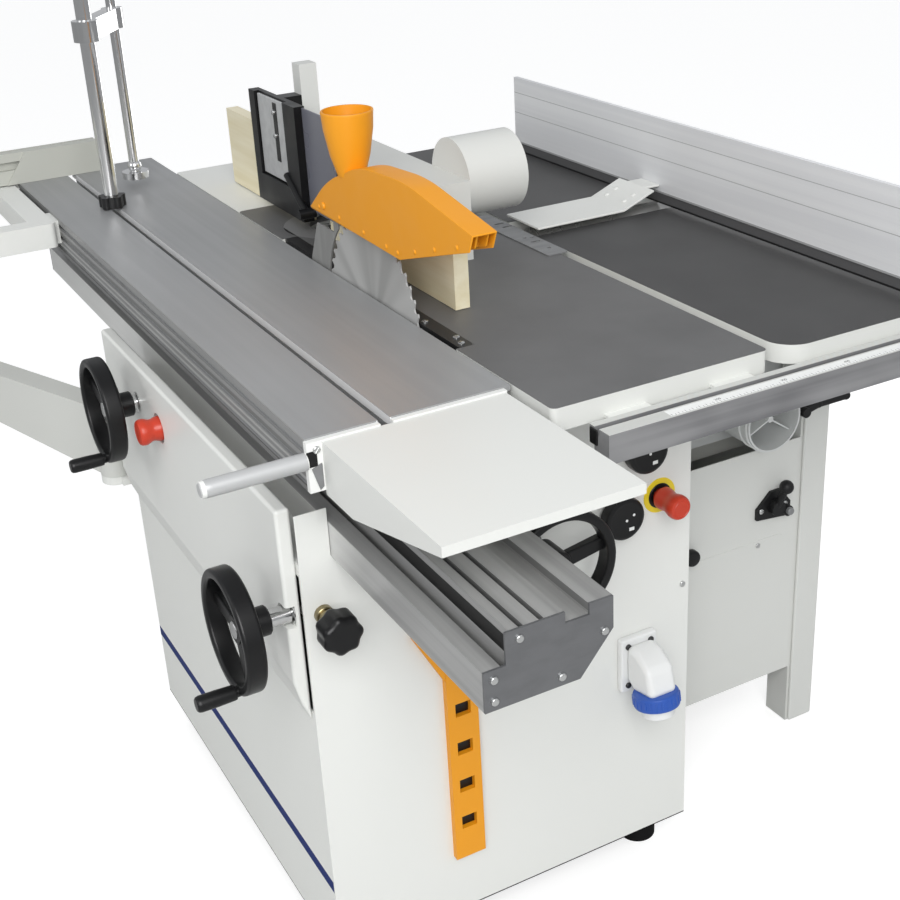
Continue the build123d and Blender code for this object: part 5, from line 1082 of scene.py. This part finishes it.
# stage, light and camera
studio = {"floor": "c0c0bf", "lift": 0.66, "floorSize": 40.0, "floorDrop": 0.0005,
          "sky": 0.55, "skyTint": (0.95, 0.97, 1.0, 1),
          "lamps": [("keyLamp", (-1.4, -3.2, 2.8), (0, 0, 0.7), 2.4, 128.0),
                    ("fillLamp", (2.4, -2.2, 2.6), (0.2, 0, 0.7), 2.4, 8.0),
                    ("sideLamp", (-3.2, 0.2, 2.3), (0.3, 0.2, 0.9), 1.8, 16.0),
                    ("backLamp", (3.0, 2.2, 0.8), (0.3, 0, 0.5), 1.6, 24.0)]}
photo = {"lens": 56.59, "sensor": 36.0, "shift": (-0.0132, -0.0292), "spot": (-0.7091, -1.9106, 1.5301),
         "aim": ((0.87512, 0.24005, -0.42016), (-0.48142, 0.34413, -0.80610), (-0.04891, 0.90772, 0.41672))}


def floorPaint():
    paint = Paint("paleFloor")
    seen = paint.node("ShaderNodeLightPath", out="Is Camera Ray")
    paint.shader.inputs["Emission Strength"].default_value = studio["lift"]
    return paint.coat(Base_Color=rgb(studio["floor"]), Roughness=0.7,
                      Emission_Color=paint.mix(seen, (0, 0, 0, 1), (1, 1, 1, 1)))


bpy.ops.object.select_all(action="DESELECT")
bpy.ops.mesh.primitive_plane_add(size=studio["floorSize"], location=(0, 0, -studio["floorDrop"]))
floor = bpy.context.object
floor.name = "floor"
floor.data.materials.append(floorPaint())

world = bpy.data.worlds.new("studio")
bpy.context.scene.world = world
world.use_nodes = True
sky = world.node_tree
sky.nodes.clear()
path = sky.nodes.new("ShaderNodeLightPath")
seen = sky.nodes.new("ShaderNodeMath")
seen.operation = "MAXIMUM"
sky.links.new(path.outputs["Is Camera Ray"], seen.inputs[0])
sky.links.new(path.outputs["Is Transmission Ray"], seen.inputs[1])
soft = sky.nodes.new("ShaderNodeBackground")
soft.inputs["Color"].default_value = studio["skyTint"]
soft.inputs["Strength"].default_value = studio["sky"]
white = sky.nodes.new("ShaderNodeBackground")
white.inputs["Color"].default_value = (1, 1, 1, 1)
white.inputs["Strength"].default_value = 1.0
choose = sky.nodes.new("ShaderNodeMixShader")
sky.links.new(seen.outputs[0], choose.inputs[0])
sky.links.new(soft.outputs[0], choose.inputs[1])
sky.links.new(white.outputs[0], choose.inputs[2])
sky.links.new(choose.outputs[0], sky.nodes.new("ShaderNodeOutputWorld").inputs["Surface"])


def addLamp(name, spot, aim, size, power):
    data = bpy.data.lights.new(name, "AREA")
    data.shape = "SQUARE"
    data.size = size
    data.energy = power
    lamp = bpy.data.objects.new(name, data)
    bpy.context.scene.collection.objects.link(lamp)
    lamp.location = spot
    lamp.rotation_euler = (Vector(aim) - Vector(spot)).to_track_quat("-Z", "Y").to_euler()


for lamp in studio["lamps"]:
    addLamp(*lamp)

view = bpy.data.cameras.new("photoView")
view.lens = photo["lens"]
view.sensor_width = photo["sensor"]
view.shift_x, view.shift_y = photo["shift"]
camera = bpy.data.objects.new("photoView", view)
bpy.context.scene.collection.objects.link(camera)
camera.matrix_world = Matrix.Translation(photo["spot"]) @ Matrix(photo["aim"]).to_4x4()
bpy.context.scene.camera = camera
bpy.context.scene.view_settings.view_transform = "Standard"
print("light and camera set")
